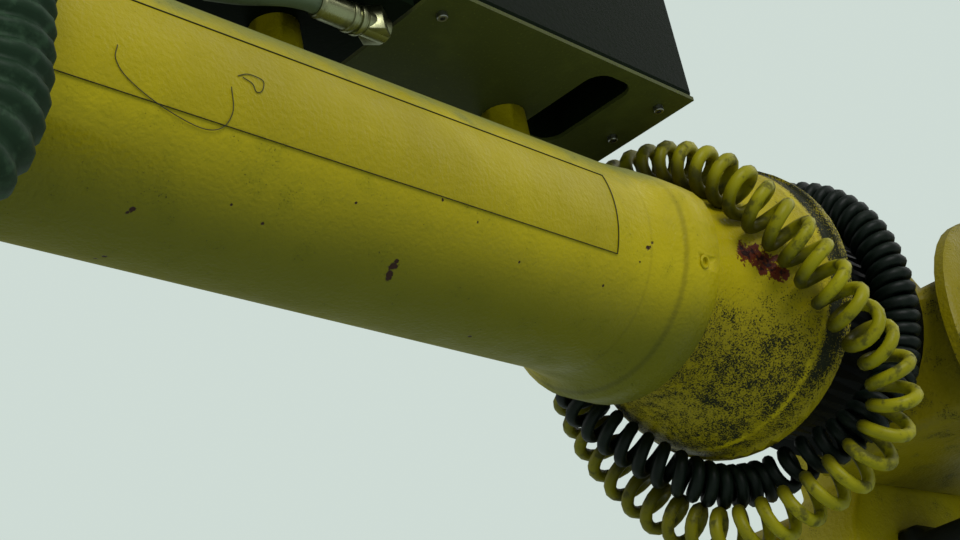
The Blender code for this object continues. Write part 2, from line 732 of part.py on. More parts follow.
def build_elbow(pivot):
    lug_far = lug_far_face()
    lug_near = lug_far + LUG_WIDTH
    top = FOREARM_RISE + CASING_TOP_RISE
    lug_front = CASING_FRONT - LUG_SETBACK
    brow_end = CASING_FRONT - CASING_BROW_LENGTH
    lug_brow = top - (lug_front - brow_end) * (CASING_TOP_RISE - CASING_BROW_RISE) / CASING_BROW_LENGTH
    crown = [(brow_end, top)]
    crown += arc((CASING_CORNER - CASING_REAR, top - CASING_CORNER), CASING_CORNER, 90, 180, 5)
    crown += [(-CASING_REAR, FOREARM_RISE - CASING_UNDERSIDE_RISE)]
    lug_outline = arc((0, 0), LUG_RADIUS, *LUG_ARC, LUG_STEPS) + [(lug_front, lug_brow)] + crown
    lug = add_object(
        "elbow_lug", prism_mesh("elbow_lug", lug_outline, lug_far, LUG_WIDTH), "robot_yellow", pivot
    )
    add_bevel(lug, LUG_BEVEL)

    casing_far = lug_near + SEAT_GAP
    casing_outline = [
        (CASING_FRONT, FOREARM_RISE - CASING_UNDERSIDE_DROP),
        (CASING_FRONT, FOREARM_RISE + CASING_BROW_RISE),
    ]
    casing = add_object(
        "elbow_casing",
        prism_mesh("elbow_casing", casing_outline + crown, casing_far, CASING_NEAR_SIDE - casing_far),
        "robot_yellow", pivot,
    )
    add_bevel(casing, CASING_BEVEL)
    # The casing's round neck, which carries the gearbox housing above the sloping brow
    neck_front = CASING_FRONT - SEAT_GAP
    neck_rear = neck_front - CASING_NECK_LENGTH
    neck = turned_mesh(
        "casing_neck",
        ((neck_rear, 0), (neck_rear, CASING_NECK_REAR_RADIUS),
         (neck_front, CASING_NECK_RADIUS), (neck_front, 0)),
    )
    cut_with(
        casing, add_object("casing_neck_round", neck, None, pivot, (0, 0, FOREARM_RISE), ALONG_X), "UNION"
    )

    add_object(
        "elbow_reducer",
        reducer_mesh("elbow_reducer", ELBOW_REDUCER_RADIUS, ELBOW_REDUCER_LENGTH),
        "bare_steel", pivot, (0, lug_far - SEAT_GAP, 0), ALONG_MINUS_Y,
    )
    add_object(
        "elbow_motor",
        motor_mesh("elbow_motor", SMALL_MOTOR_RADIUS, SMALL_MOTOR_LENGTH, SMALL_MOTOR_FLANGE),
        "machine_black", pivot, (0, lug_near + SEAT_GAP, 0), ALONG_Y,
    )
    add_object(
        "elbow_side_cover",
        cover_mesh("elbow_side_cover", SIDE_COVER_RADIUS, SIDE_COVER_THICKNESS,
                   SIDE_COVER_RADIUS * SIDE_COVER_BOSS_SHARE, SIDE_COVER_BOSS),
        "robot_yellow", pivot,
        (CASING_FRONT - SIDE_COVER_SETBACK, CASING_NEAR_SIDE + SEAT_GAP, FOREARM_RISE - SIDE_COVER_DROP),
        ALONG_Y,
    )

    plate_front = -CASING_REAR - SEAT_GAP
    plate = turned_mesh(
        "motor_plate",
        ((0, 0), (0, MOTOR_PLATE_RADIUS), (MOTOR_PLATE_THICKNESS, MOTOR_PLATE_RADIUS),
         (MOTOR_PLATE_THICKNESS, 0)),
    )
    add_object("motor_plate", plate, "robot_yellow", pivot, (plate_front, 0, FOREARM_RISE), ALONG_MINUS_X)
    motor_face = plate_front - MOTOR_PLATE_THICKNESS - SEAT_GAP
    for name, angle in WRIST_MOTOR_ANGLES.items():
        across = WRIST_MOTOR_CIRCLE * math.cos(math.radians(angle))
        up = WRIST_MOTOR_CIRCLE * math.sin(math.radians(angle))
        add_object(
            name,
            motor_mesh(name, SMALL_MOTOR_RADIUS, SMALL_MOTOR_LENGTH, SMALL_MOTOR_FLANGE),
            "machine_black", pivot, (motor_face, across, FOREARM_RISE + up), ALONG_MINUS_X,
        )

    # Gearbox housing between the casing and the turning rim
    start = CASING_FRONT + SEAT_GAP
    end = RIM_REACH - PIVOT_GAP
    length = end - start
    housing = turned_mesh(
        "roll_housing",
        (
            (0, 0),
            (0, HOUSING_FLANGE_RADIUS),
            (HOUSING_FLANGE_LENGTH, HOUSING_FLANGE_RADIUS),
            (HOUSING_FLANGE_LENGTH, HOUSING_RADIUS),
            (length - HOUSING_COLLAR_LENGTH, HOUSING_RADIUS),
            (length - HOUSING_COLLAR_LENGTH, HOUSING_COLLAR_RADIUS),
            (length, HOUSING_COLLAR_RADIUS),
            (length, 0),
        ),
        TUBE_STEPS,
    )
    add_object("roll_housing", housing, "machine_black", pivot, (start, 0, FOREARM_RISE), ALONG_X)


def build_forearm(roll):
    """Rim, neck, shoulder ring and tube, along +X from the rim's rear face."""
    flare_start = RIM_LIP_LENGTH
    profile = [(0, 0), (0, RIM_RADIUS), (RIM_LIP_LENGTH, RIM_RADIUS)]
    rim_shoulder = RIM_RADIUS - RIM_STEP
    for step in range(FLARE_STEPS + 1):
        share = step / FLARE_STEPS
        swell = (1 + math.cos(math.pi * share)) / 2
        radius = NECK_RADIUS + (rim_shoulder - NECK_RADIUS) * swell
        profile.append((flare_start + FLARE_LENGTH * share, radius))
    profile += [(NECK_LENGTH, NECK_RADIUS), (NECK_LENGTH, 0)]
    add_object(
        "neck_flange", turned_mesh("neck_flange", profile, TUBE_STEPS), "robot_yellow", roll, turn=ALONG_X
    )

    tube_start = NECK_LENGTH + SEAT_GAP
    ring_end = tube_start + RING_LENGTH
    blend_end = ring_end + RING_BLEND_LENGTH
    tube_end = tube_start + TUBE_LENGTH
    profile = [
        (tube_start, 0),
        (tube_start, RING_RADIUS - RING_CHAMFER),
        (tube_start + RING_CHAMFER_LENGTH, RING_RADIUS),
        (ring_end, RING_RADIUS),
        (ring_end + RING_BLEND_LENGTH * RING_BLEND_SHARE,
         TUBE_RADIUS + (RING_RADIUS - TUBE_RADIUS) * RING_BLEND_SHARE),
        (blend_end, TUBE_RADIUS),
        (tube_end, TUBE_RADIUS),
        (tube_end, 0),
    ]
    tube = add_object(
        "forearm_tube", turned_mesh("forearm_tube", profile, TUBE_STEPS), "robot_yellow", roll, turn=ALONG_X
    )
    hole = turned_mesh(
        "oil_hole",
        ((0, 0), (0, OIL_HOLE_RADIUS), (OIL_HOLE_DEPTH + CUT_OVERRUN, OIL_HOLE_RADIUS),
         (OIL_HOLE_DEPTH + CUT_OVERRUN, 0)),
        SMALL_ROUND_STEPS,
    )
    hole_root = RING_RADIUS - OIL_HOLE_DEPTH
    place = (
        tube_start + RING_LENGTH * OIL_HOLE_PLACE_SHARE,
        hole_root * math.cos(OIL_HOLE_ANGLE),
        hole_root * math.sin(OIL_HOLE_ANGLE),
    )
    cutter = add_object(
        "oil_hole_cutter", hole, None, roll, place, (OIL_HOLE_ANGLE - math.radians(90), 0, 0)
    )
    cut_with(tube, cutter)
    return tube_end


def build_box(roll):
    # The posts stand on the tube, their feet sunk to its curve by a cut with the tube's own round
    tube_cutter = add_object(
        "tube_clearance_cutter",
        turned_mesh(
            "tube_clearance_cutter",
            ((0, 0), (0, TUBE_RADIUS + SEAT_GAP), (TUBE_LENGTH + NECK_LENGTH, TUBE_RADIUS + SEAT_GAP),
             (TUBE_LENGTH + NECK_LENGTH, 0)),
            TUBE_STEPS,
        ),
        None, roll, turn=ALONG_X,
    )
    foot_bottom = TUBE_RADIUS - POST_SINK
    foot_top = TUBE_RADIUS + POST_FOOT_HEIGHT
    plate_bottom = BOX_UNDERSIDE
    post_top = plate_bottom - SEAT_GAP
    for name, along in POST_PLACES.items():
        post = turned_mesh(
            name,
            ((foot_bottom, 0), (foot_bottom, POST_FOOT_RADIUS),
             (foot_top - POST_FOOT_HEIGHT / 2, POST_FOOT_RADIUS),
             (foot_top, POST_RADIUS), (post_top, POST_RADIUS), (post_top, 0)),
            SMALL_ROUND_STEPS,
        )
        cut_with(add_object(name, post, "robot_yellow", roll, (along, 0, 0)), tube_cutter)

    low = (BOX_START, -BOX_HALF_WIDTH)
    high = (BOX_START + BOX_LENGTH, BOX_HALF_WIDTH)
    outline = [low, (high[0], low[1]), high, (low[0], high[1])]
    shell_bottom = plate_bottom + BOX_PLATE_THICKNESS + SEAT_GAP
    plate = add_object(
        "box_bottom_plate",
        plate_mesh("box_bottom_plate", outline, plate_bottom, BOX_PLATE_THICKNESS), "box_olive", roll,
    )
    shell = add_object(
        "equipment_box", plate_mesh("equipment_box", outline, shell_bottom, BOX_HEIGHT), "box_olive", roll
    )
    add_bevel(shell, BOX_BEVEL)
    slot_low = (BOX_START + SLOT_START, high[1] - SLOT_NEAR_MARGIN - SLOT_LENGTH)
    slot_high = (slot_low[0] + SLOT_WIDTH, high[1] - SLOT_NEAR_MARGIN)
    slot_outline = rounded_box_outline(slot_low, slot_high, SLOT_WIDTH * SLOT_CORNER_SHARE)
    slot = add_object(
        "slot_cutter",
        plate_mesh("slot_cutter", slot_outline, plate_bottom - CUT_OVERRUN, SLOT_DEPTH + CUT_OVERRUN),
        None, roll,
    )
    cut_with(plate, slot)
    cut_with(shell, slot)

    over = BOX_LID_OVERHANG
    lid_outline = rounded_box_outline(
        (low[0] - over, low[1] - over), (high[0] + over, high[1] + over), over * 2
    )
    lid_bottom = shell_bottom + BOX_HEIGHT + SEAT_GAP
    lid = add_object(
        "box_lid", plate_mesh("box_lid", lid_outline, lid_bottom, BOX_LID_THICKNESS), "box_olive", roll
    )
    add_bevel(lid, BOX_LID_BEVEL)


def build_bracket(roll):
    """Folded bracket plate on the front post, and the air fitting that hangs under it."""
    bottom = BOX_UNDERSIDE
    start = BOX_START + BOX_LENGTH + BRACKET_GAP
    section = [
        (-BRACKET_HALF_WIDTH, bottom),
        (BRACKET_HALF_WIDTH, bottom),
        (BRACKET_HALF_WIDTH, bottom + BRACKET_FLANGE),
        (BRACKET_HALF_WIDTH - BRACKET_THICKNESS, bottom + BRACKET_FLANGE),
        (BRACKET_HALF_WIDTH - BRACKET_THICKNESS, bottom + BRACKET_THICKNESS),
        (-BRACKET_HALF_WIDTH + BRACKET_THICKNESS, bottom + BRACKET_THICKNESS),
        (-BRACKET_HALF_WIDTH + BRACKET_THICKNESS, bottom + BRACKET_FLANGE),
        (-BRACKET_HALF_WIDTH, bottom + BRACKET_FLANGE),
    ]
    bracket = extruded_mesh("bracket_plate", [(start, y, z) for y, z in section], (BRACKET_LENGTH, 0, 0))
    add_object("bracket_plate", bracket, "box_olive", roll)

    # A nut under the plate, an elbow that turns forward, and the pipe that it feeds
    top = bottom - SEAT_GAP
    along = start + FITTING_INSET
    nut_bottom = top - FITTING_NUT_LENGTH
    nut = turned_mesh(
        "fitting_nut",
        ((nut_bottom, 0), (nut_bottom, FITTING_NUT_RADIUS), (top, FITTING_NUT_RADIUS), (top, 0)),
        FITTING_NUT_SIDES,
    )
    add_object("fitting_nut", nut, "bare_steel", roll, (along, FITTING_SIDE, 0))
    elbow_top = nut_bottom - SEAT_GAP
    points = [(along, FITTING_SIDE, elbow_top)]
    bend_top = elbow_top - FITTING_LEAD
    for step in range(FITTING_CORNER_STEPS + 1):
        angle = math.radians(90) * step / FITTING_CORNER_STEPS
        points.append((along + FITTING_BEND - FITTING_BEND * math.cos(angle), FITTING_SIDE,
                       bend_top - FITTING_BEND * math.sin(angle)))
    run_end = along + FITTING_BEND + FITTING_RUN
    height = bend_top - FITTING_BEND
    points.append((run_end, FITTING_SIDE, height))
    add_object("pipe_fitting", tube_curve("pipe_fitting", points, FITTING_RADIUS), "bare_steel", roll)
    pipe_start = run_end + SEAT_GAP
    pipe = [(pipe_start, FITTING_SIDE, height), (pipe_start + AIR_PIPE_LENGTH, FITTING_SIDE, height)]
    add_object("air_pipe", tube_curve("air_pipe", pipe, AIR_PIPE_RADIUS), "green_hose", roll)


def build_wrist(roll, tube_end):
    start = tube_end + SEAT_GAP
    axis_reach = tube_end + WRIST_LEAD
    outline = [(start, -WRIST_HALF_HEIGHT)]
    outline += arc((axis_reach, 0), WRIST_HALF_HEIGHT, -90, 90, 18)
    outline += [(start, WRIST_HALF_HEIGHT)]
    housing = add_object(
        "wrist_housing",
        prism_mesh("wrist_housing", outline, -WRIST_HALF_WIDTH, 2 * WRIST_HALF_WIDTH), "robot_yellow", roll,
    )
    add_bevel(housing, WRIST_BEVEL)
    throat = [
        (axis_reach - WRIST_THROAT, -WRIST_HALF_HEIGHT - CUT_OVERRUN),
        (axis_reach + WRIST_HALF_HEIGHT + CUT_OVERRUN, -WRIST_HALF_HEIGHT - CUT_OVERRUN),
        (axis_reach + WRIST_HALF_HEIGHT + CUT_OVERRUN, WRIST_HALF_HEIGHT + CUT_OVERRUN),
        (axis_reach - WRIST_THROAT, WRIST_HALF_HEIGHT + CUT_OVERRUN),
    ]
    cut_with(housing, add_object(
        "throat_cutter",
        prism_mesh("throat_cutter", throat, -WRIST_CHEEK_GAP, 2 * WRIST_CHEEK_GAP),
        None, roll,
    ))
    for name, side, turn in (("wrist_cover_near", 1, ALONG_Y), ("wrist_cover_far", -1, ALONG_MINUS_Y)):
        cover = cover_mesh(name, WRIST_COVER_RADIUS, WRIST_COVER_THICKNESS,
                           WRIST_COVER_RADIUS * SIDE_COVER_BOSS_SHARE, WRIST_COVER_THICKNESS / 2)
        add_object(name, cover, "robot_yellow", roll,
                   (axis_reach, side * (WRIST_HALF_WIDTH + SEAT_GAP), 0), turn)

    nose = axis_reach + WRIST_NOSE_START
    unit_outline = arc((axis_reach, 0), WRIST_UNIT_RADIUS, 90, 270, 16)
    unit_outline += [(nose, -WRIST_UNIT_RADIUS), (nose, WRIST_UNIT_RADIUS)]
    half = WRIST_CHEEK_GAP - WRIST_UNIT_CLEARANCE
    unit = add_object(
        "wrist_unit", prism_mesh("wrist_unit", unit_outline, -half, 2 * half), "robot_yellow", roll
    )
    add_bevel(unit, WRIST_BEVEL)
    flange_end = axis_reach + TOOL_FLANGE_REACH
    flange_start = flange_end - TOOL_FLANGE_THICKNESS
    nose_start = nose + SEAT_GAP
    add_object(
        "wrist_nose",
        turned_mesh(
            "wrist_nose",
            ((nose_start, 0), (nose_start, half), ((nose_start + flange_start) / 2, WRIST_NOSE_RADIUS),
             (flange_start - SEAT_GAP, WRIST_NOSE_RADIUS), (flange_start - SEAT_GAP, 0)),
        ),
        "robot_yellow", roll, turn=ALONG_X,
    )
    add_object(
        "tool_flange",
        turned_mesh(
            "tool_flange",
            ((flange_start, 0), (flange_start, TOOL_FLANGE_RADIUS), (flange_end, TOOL_FLANGE_RADIUS),
             (flange_end, TOOL_PILOT_RADIUS), (flange_end - TOOL_PILOT_DEPTH, TOOL_PILOT_RADIUS),
             (flange_end - TOOL_PILOT_DEPTH, 0)),
        ),
        "bare_steel", roll, turn=ALONG_X,
    )
    return axis_reach


def build_cords(roll, wrist_reach):
    bracket_end = BOX_START + BOX_LENGTH + BRACKET_GAP + BRACKET_LENGTH
    hose_start = bracket_end + SEAT_GAP
    hose_run = wrist_reach - HOSE_CLAMP_LENGTH - SEAT_GAP - hose_start
    hose_route = [(hose_start + share * hose_run, side, height) for share, side, height in HOSE_ROUTE]
    for name, route, radius, finish in (
        ("yellow_curly_cord", YELLOW_ROUTE, YELLOW_COIL_RADIUS, "yellow_cord"),
        ("black_curly_cord", BLACK_ROUTE, BLACK_COIL_RADIUS, "black_cord"),
        ("wrist_hose", hose_route, HOSE_RADIUS, "green_hose"),
    ):
        add_object(name, tube_curve(name, smooth_route(route), radius), finish, roll)

    # Block on the neck's far side that holds an end of each curly cord
    near = -NECK_RADIUS - SEAT_GAP
    start = CORD_ANCHOR_START
    end = start + CORD_ANCHOR_LENGTH
    corners = [(start, near), (end, near), (end, -CORD_ANCHOR_REACH), (start, -CORD_ANCHOR_REACH)]
    anchor = add_object(
        "cord_anchor",
        plate_mesh("cord_anchor", corners, -CORD_ANCHOR_HALF, 2 * CORD_ANCHOR_HALF), "machine_black", roll,
    )
    add_bevel(anchor, CLAMP_BEVEL, 1)

    # Clamp on the rim's rear face for the black cord's upper end, drawn at the near side and turned
    arm_low, arm_high = CORD_CLAMP_ARM_RADII
    rear = CORD_CLAMP_MIDDLE - CORD_CLAMP_HALF
    front = CORD_CLAMP_MIDDLE + CORD_CLAMP_HALF
    inner = CORD_CLAMP_RADIUS - CORD_CLAMP_HALF
    outer = CORD_CLAMP_RADIUS + CORD_CLAMP_HALF
    outline = [
        (rear, inner), (front, inner), (-CORD_CLAMP_NECK, arm_low), (-SEAT_GAP, arm_low),
        (-SEAT_GAP, arm_high), (-CORD_CLAMP_NECK, arm_high), (front, outer), (rear, outer),
    ]
    clamp = add_object(
        "black_cord_clamp",
        plate_mesh("black_cord_clamp", outline, CORD_CLAMP_START + SEAT_GAP, CORD_CLAMP_DEPTH),
        "machine_black", roll, turn=(CORD_CLAMP_ANGLE, 0, 0),
    )
    add_bevel(clamp, CLAMP_BEVEL, 1)

    # Clamps at the two ends of the wrist hose: one stands on the bracket, one hangs under the wrist
    half = HOSE_CLAMP_HALF
    upper_bottom = BOX_UNDERSIDE + BRACKET_THICKNESS + SEAT_GAP
    lower_start = wrist_reach - HOSE_CLAMP_LENGTH
    wrist_bottom = -WRIST_HALF_HEIGHT - SEAT_GAP
    for name, low, high in (
        ("hose_clamp_upper",
         (bracket_end - HOSE_CLAMP_LENGTH, UPPER_HOSE_CLAMP_SIDE - half, upper_bottom),
         (bracket_end, UPPER_HOSE_CLAMP_SIDE + half, HOSE_ROUTE[0][2] + half)),
        ("hose_clamp_lower",
         (lower_start, HOSE_ROUTE[-1][1] - half, HOSE_ROUTE[-1][2] - half),
         (lower_start + HOSE_CLAMP_LENGTH, HOSE_ROUTE[-1][1] + half, wrist_bottom)),
    ):
        outline = rounded_box_outline(low[:2], high[:2], HOSE_CLAMP_CORNER)
        block = add_object(name, plate_mesh(name, outline, low[2], high[2] - low[2]), "machine_black", roll)
        add_bevel(block, CLAMP_BEVEL, 1)


def build_robot():
    clear_scene()
    ring_top = build_base()
    build_turret(ring_top)
    shoulder = add_pivot("shoulder_axis", (SHOULDER_FORWARD, 0, SHOULDER_HEIGHT))
    build_lower_arm(shoulder)
    elbow = add_pivot("elbow_axis", (0, 0, LOWER_ARM_LENGTH), shoulder)
    build_elbow(elbow)
    roll = add_pivot("roll_axis", (RIM_REACH, 0, FOREARM_RISE), elbow)
    tube_end = build_forearm(roll)
    build_box(roll)
    build_bracket(roll)
    wrist_reach = build_wrist(roll, tube_end)
    build_cords(roll, wrist_reach)


build_robot()
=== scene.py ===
"""Finishes for the robot arm: paint, curly cords, ribbed hose, label film, fasteners, light and camera.

Metres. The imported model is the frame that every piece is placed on, and nothing in it is moved.
"""

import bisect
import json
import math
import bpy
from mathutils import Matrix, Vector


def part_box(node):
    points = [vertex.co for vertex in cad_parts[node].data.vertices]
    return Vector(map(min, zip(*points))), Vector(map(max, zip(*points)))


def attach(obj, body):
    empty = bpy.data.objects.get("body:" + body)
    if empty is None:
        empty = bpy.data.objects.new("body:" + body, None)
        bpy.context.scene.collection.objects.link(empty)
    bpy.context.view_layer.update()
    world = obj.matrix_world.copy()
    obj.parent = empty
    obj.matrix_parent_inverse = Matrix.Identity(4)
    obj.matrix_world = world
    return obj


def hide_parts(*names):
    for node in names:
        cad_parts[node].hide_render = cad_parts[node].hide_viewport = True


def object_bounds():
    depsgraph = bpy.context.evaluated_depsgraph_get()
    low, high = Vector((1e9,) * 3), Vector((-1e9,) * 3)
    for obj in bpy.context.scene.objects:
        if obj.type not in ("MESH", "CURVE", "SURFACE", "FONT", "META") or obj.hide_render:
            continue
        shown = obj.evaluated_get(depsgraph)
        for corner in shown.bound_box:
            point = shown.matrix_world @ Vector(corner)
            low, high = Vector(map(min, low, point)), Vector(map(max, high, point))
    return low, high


bl_info = {
    "name": "Robot Arm Finishes",
    "version": (1, 0, 0),
    "blender": (4, 5, 0),
    "location": "View3D > Sidebar > Robot Arm",
    "description": "Paint, cords, hose, label film and fasteners for an industrial robot arm",
    "category": "Object",
}

import bmesh
import bpy
from mathutils import Matrix, Vector

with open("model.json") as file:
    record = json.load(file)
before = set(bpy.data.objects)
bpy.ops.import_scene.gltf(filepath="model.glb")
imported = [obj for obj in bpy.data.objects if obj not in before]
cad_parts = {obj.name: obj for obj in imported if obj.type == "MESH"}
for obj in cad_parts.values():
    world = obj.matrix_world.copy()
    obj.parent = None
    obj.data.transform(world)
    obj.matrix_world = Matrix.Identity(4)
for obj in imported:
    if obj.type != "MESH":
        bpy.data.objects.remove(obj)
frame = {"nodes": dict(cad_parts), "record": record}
CAD_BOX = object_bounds()

# The forearm's own frame: the middle of the rim's rear face, on the axis that the forearm turns about
RIM_LOW, RIM_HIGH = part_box("neck_flange")
RIM = Vector((RIM_LOW.x, (RIM_LOW.y + RIM_HIGH.y) / 2, (RIM_LOW.z + RIM_HIGH.z) / 2))
RIM_RADIUS = (RIM_HIGH.z - RIM_LOW.z) / 2
TUBE_RADIUS = 0.095

# The body and the material slot of every node of the model
BODIES = {name: body for body, names in frame["record"]["behaviour"]["bodies"].items() for name in names}
SLOTS = {part["node"]: part["material_slot"] for part in frame["record"]["subparts"]}

# Routes of the cords' middle lines, from RIM: along, near side, up
YELLOW_ROUTE = (
    (0.1325, -0.078, 0.19), (0.128, -0.078, 0.19), (0.118, -0.08, 0.189), (0.109, -0.086, 0.178),
    (0.103, -0.09, 0.158), (0.101, -0.082, 0.132), (0.104, -0.062, 0.1145), (0.108, -0.03, 0.1235),
    (0.114, 0.004, 0.1245), (0.119, 0.036, 0.1155), (0.121, 0.063, 0.1025), (0.12, 0.0865, 0.0845),
    (0.117, 0.108, 0.0615), (0.111, 0.126, 0.032), (0.1, 0.135, 0.01), (0.09, 0.141, -0.005),
    (0.08, 0.144, -0.02), (0.07, 0.148, -0.04), (0.055, 0.15, -0.06), (0.04, 0.15, -0.078),
    (0.02, 0.147, -0.09), (-0.002, 0.147, -0.112), (-0.016, 0.134, -0.15), (-0.018, 0.098, -0.18),
    (-0.011, 0.046, -0.197), (0.0, -0.006, -0.208), (0.014, -0.055, -0.206), (0.024, -0.096, -0.18),
    (0.032, -0.126, -0.14), (0.04, -0.148, -0.096), (0.045, -0.16, -0.052), (0.048, -0.166, -0.01),
    (0.05, -0.167, 0.02), (0.05, -0.167, 0.034), (0.05, -0.167, 0.045),
)
BLACK_ROUTE = (
    (0.1, -0.128, 0.045), (0.1, -0.128, 0.034), (0.1, -0.13, 0.02), (0.099, -0.131, 0.0),
    (0.096, -0.128, -0.03), (0.092, -0.122, -0.064), (0.08, -0.108, -0.092), (0.062, -0.088, -0.122),
    (0.04, -0.066, -0.147), (0.006, -0.045, -0.1625), (-0.03, -0.018, -0.16), (-0.036, 0.026, -0.1535),
    (-0.042, 0.062, -0.148), (-0.05, 0.085, -0.137), (-0.062, 0.097, -0.124), (-0.076, 0.103, -0.112),
    (-0.088, 0.106, -0.098), (-0.096, 0.112, -0.078), (-0.1, 0.121, -0.047), (-0.1, 0.127, -0.019),
    (-0.1, 0.127, 0.014), (-0.1, 0.121, 0.047), (-0.1, 0.108, 0.076), (-0.1, 0.088, 0.101),
    (-0.1, 0.063, 0.12), (-0.1, 0.033, 0.132), (-0.1, 0.0, 0.136), (-0.1, -0.024, 0.134),
    (-0.1, -0.047, 0.128), (-0.1, -0.0638, 0.1201), (-0.1, -0.0691, 0.1173), (-0.1, -0.0744, 0.1145),
)
HOSE_ROUTE = (
    (0.6823, 0.02, 0.195), (0.694, 0.02, 0.195), (0.71, 0.02, 0.195), (0.744, 0.034, 0.192),
    (0.792, 0.07, 0.175), (0.832, 0.105, 0.14), (0.855, 0.131, 0.09), (0.865, 0.14, 0.04),
    (0.869, 0.141, -0.006), (0.877, 0.141, -0.051), (0.88, 0.14, -0.085), (0.884, 0.139, -0.113),
    (0.893, 0.136, -0.143), (0.908, 0.129, -0.165), (0.924, 0.12, -0.175), (0.939, 0.115, -0.178),
    (0.948, 0.115, -0.178), (0.9547, 0.115, -0.178),
)
# How far apart a coil's turns lie, as (distance along the route, pitch) pairs
YELLOW_PITCH = (
    (0.0, 0.0215), (0.3, 0.0215), (0.45, 0.025), (0.62, 0.027), (0.8, 0.025), (2.0, 0.025),
)
BLACK_PITCH = (
    (0.0, 0.019), (0.21, 0.019), (0.235, 0.0138), (0.295, 0.0138), (0.315, 0.02), (0.36, 0.02),
    (0.41, 0.0132), (2.0, 0.0132),
)
# How wide a coil is along its route, as (distance along the route, share of its full radius) pairs
YELLOW_SPREAD = ((0.0, 0.8), (0.19, 0.8), (0.3, 1.0), (2.0, 1.0))
BLACK_SPREAD = ((0.0, 1.0),)
# A coil swings out from its route's line over this share of its radius at each end
COIL_LEAD_SHARE = 1.3
# Points along the hose for each rib, and how narrow the valleys are
STEPS_PER_RIB = 8
RIB_SHARPNESS = 3
# Places on the forearm: distance past the rim and angle up from the near side, in degrees
FILM_START = 0.279
FILM_END = 0.852
FILM_LOW_ANGLE = -25.6
FILM_HIGH_ANGLE = 19.3
FILM_LIFT = 0.0002
FILM_EDGE_LIFT = 0.0006
FILM_EDGE_RADIUS = 0.0005
FILM_STEPS = 24
THREAD_LIFT = 0.0009
THREAD_RADIUS = 0.00032
THREAD_PLACES = (
    (0.767, -8.0), (0.768, -14.0), (0.758, -20.0), (0.732, -26.0), (0.7, -29.5), (0.683, -27.0),
    (0.676, -19.0), (0.678, -9.0),
)
THREAD_LOOP = (
    (0.672, -2.9), (0.664, -0.5), (0.656, -0.2), (0.65, -1.4), (0.652, -6.0), (0.657, -7.4), (0.66, -4.3),
    (0.668, -2.7),
)
# The plug in the tube's ring: distance past the rim, angle, radius, and its outline
GREASE_PLUG = (0.185, -19.0, 0.1125)
PLUG_OUTLINE = (
    (-0.004, 0.0), (-0.004, 0.006), (0.0008, 0.006), (0.0014, 0.0054), (0.0014, 0.004),
    (0.0006, 0.0036), (-0.0016, 0.0034), (-0.0016, 0.0),
)
# The ring at the tube's rear: where it ends, the radius at its foot, the share of its rise cut off on top
RING_END = 0.28
RING_FOOT = TUBE_RADIUS + 0.0015
RING_FLATTENED_SHARE = 0.86
# The air fitting: its corner from RIM, its upward leg, its barrel's outline, its pipe's route from the corner
FITTING_CORNER = (0.4855, 0.0535, 0.1305)
LEG_RADIUS = 0.0135
LEG_LENGTH = 0.0225
LEG_LIFT = 0.0016
LEG_BEVEL = 0.0009
BARREL_OUTLINE = (
    (-0.0125, 0.0), (-0.0125, 0.009), (-0.011, 0.0108), (0.012, 0.0108), (0.0125, 0.01),
    (0.0145, 0.01), (0.015, 0.0122), (0.016, 0.0127), (0.0185, 0.0127), (0.0195, 0.0122),
    (0.02, 0.0104), (0.023, 0.0104), (0.0235, 0.0122), (0.0245, 0.0127), (0.027, 0.0127),
    (0.028, 0.0122), (0.0285, 0.0112), (0.056, 0.0112), (0.0575, 0.0098), (0.06, 0.0098), (0.06, 0.0),
)
AIR_PIPE_RADIUS = 0.0085
AIR_PIPE_ROUTE = (
    (0.059, 0.0, 0.0), (0.07, 0.0, 0.0), (0.09, -0.003, -0.002), (0.125, -0.011, -0.009),
    (0.1538, -0.0165, -0.0125),
)
# Corners of the block that holds both cords, from RIM
ANCHOR_LOW = (0.034, -0.193, 0.041)
ANCHOR_HIGH = (0.118, -0.088, 0.066)
ANCHOR_BEVEL = 0.003
# Chips in the tube's paint: distance past the rim, angle, radius
PAINT_CHIPS = (
    (0.498, -69.0, 0.0032), (0.5, -65.7, 0.0038), (0.501, -62.3, 0.0042), (0.501, -59.6, 0.0026),
    (0.722, -69.0, 0.0026), (0.724, -71.0, 0.0014), (0.626, -59.6, 0.0016), (0.362, -14.1, 0.0022),
    (0.367, -17.2, 0.002), (0.359, -11.1, 0.0016), (0.24, -17.2, 0.003), (0.235, -14.3, 0.0022),
    (0.558, -39.6, 0.0012), (0.479, -27.0, 0.0012), (0.44, -31.7, 0.0012), (0.656, -55.3, 0.001),
    (0.376, -92.5, 0.0018), (0.708, -102.5, 0.0022), (0.709, -107.3, 0.0016), (0.249, -26.0, 0.0012),
    (0.286, -43.0, 0.0012), (0.386, -43.5, 0.0012), (0.144, -59.8, 0.003), (0.143, -62.4, 0.0024),
)
# Dark lines round the tube, painted shade at the ring's steps with dirt in it: distance past the rim, half
# width, strength
TUBE_RING_SHADE_AND_DIRT = ((0.157, 0.0016, 0.9), (0.203, 0.003, 0.3), (0.236, 0.0022, 0.12))
# Rust on the neck: distance past the rim, angle, surface radius, spot radius
RUST_PATCHES = (
    (0.107, -4.7, 0.1046, 0.0055), (0.1, -2.7, 0.1091, 0.005), (0.096, -6.3, 0.1115, 0.006),
    (0.09, -9.1, 0.115, 0.0062), (0.085, -11.7, 0.117, 0.0055), (0.078, -13.2, 0.1199, 0.0045),
    (0.111, -1.5, 0.1027, 0.003), (0.095, -12.1, 0.1121, 0.004), (0.081, -6.9, 0.1185, 0.0035),
)
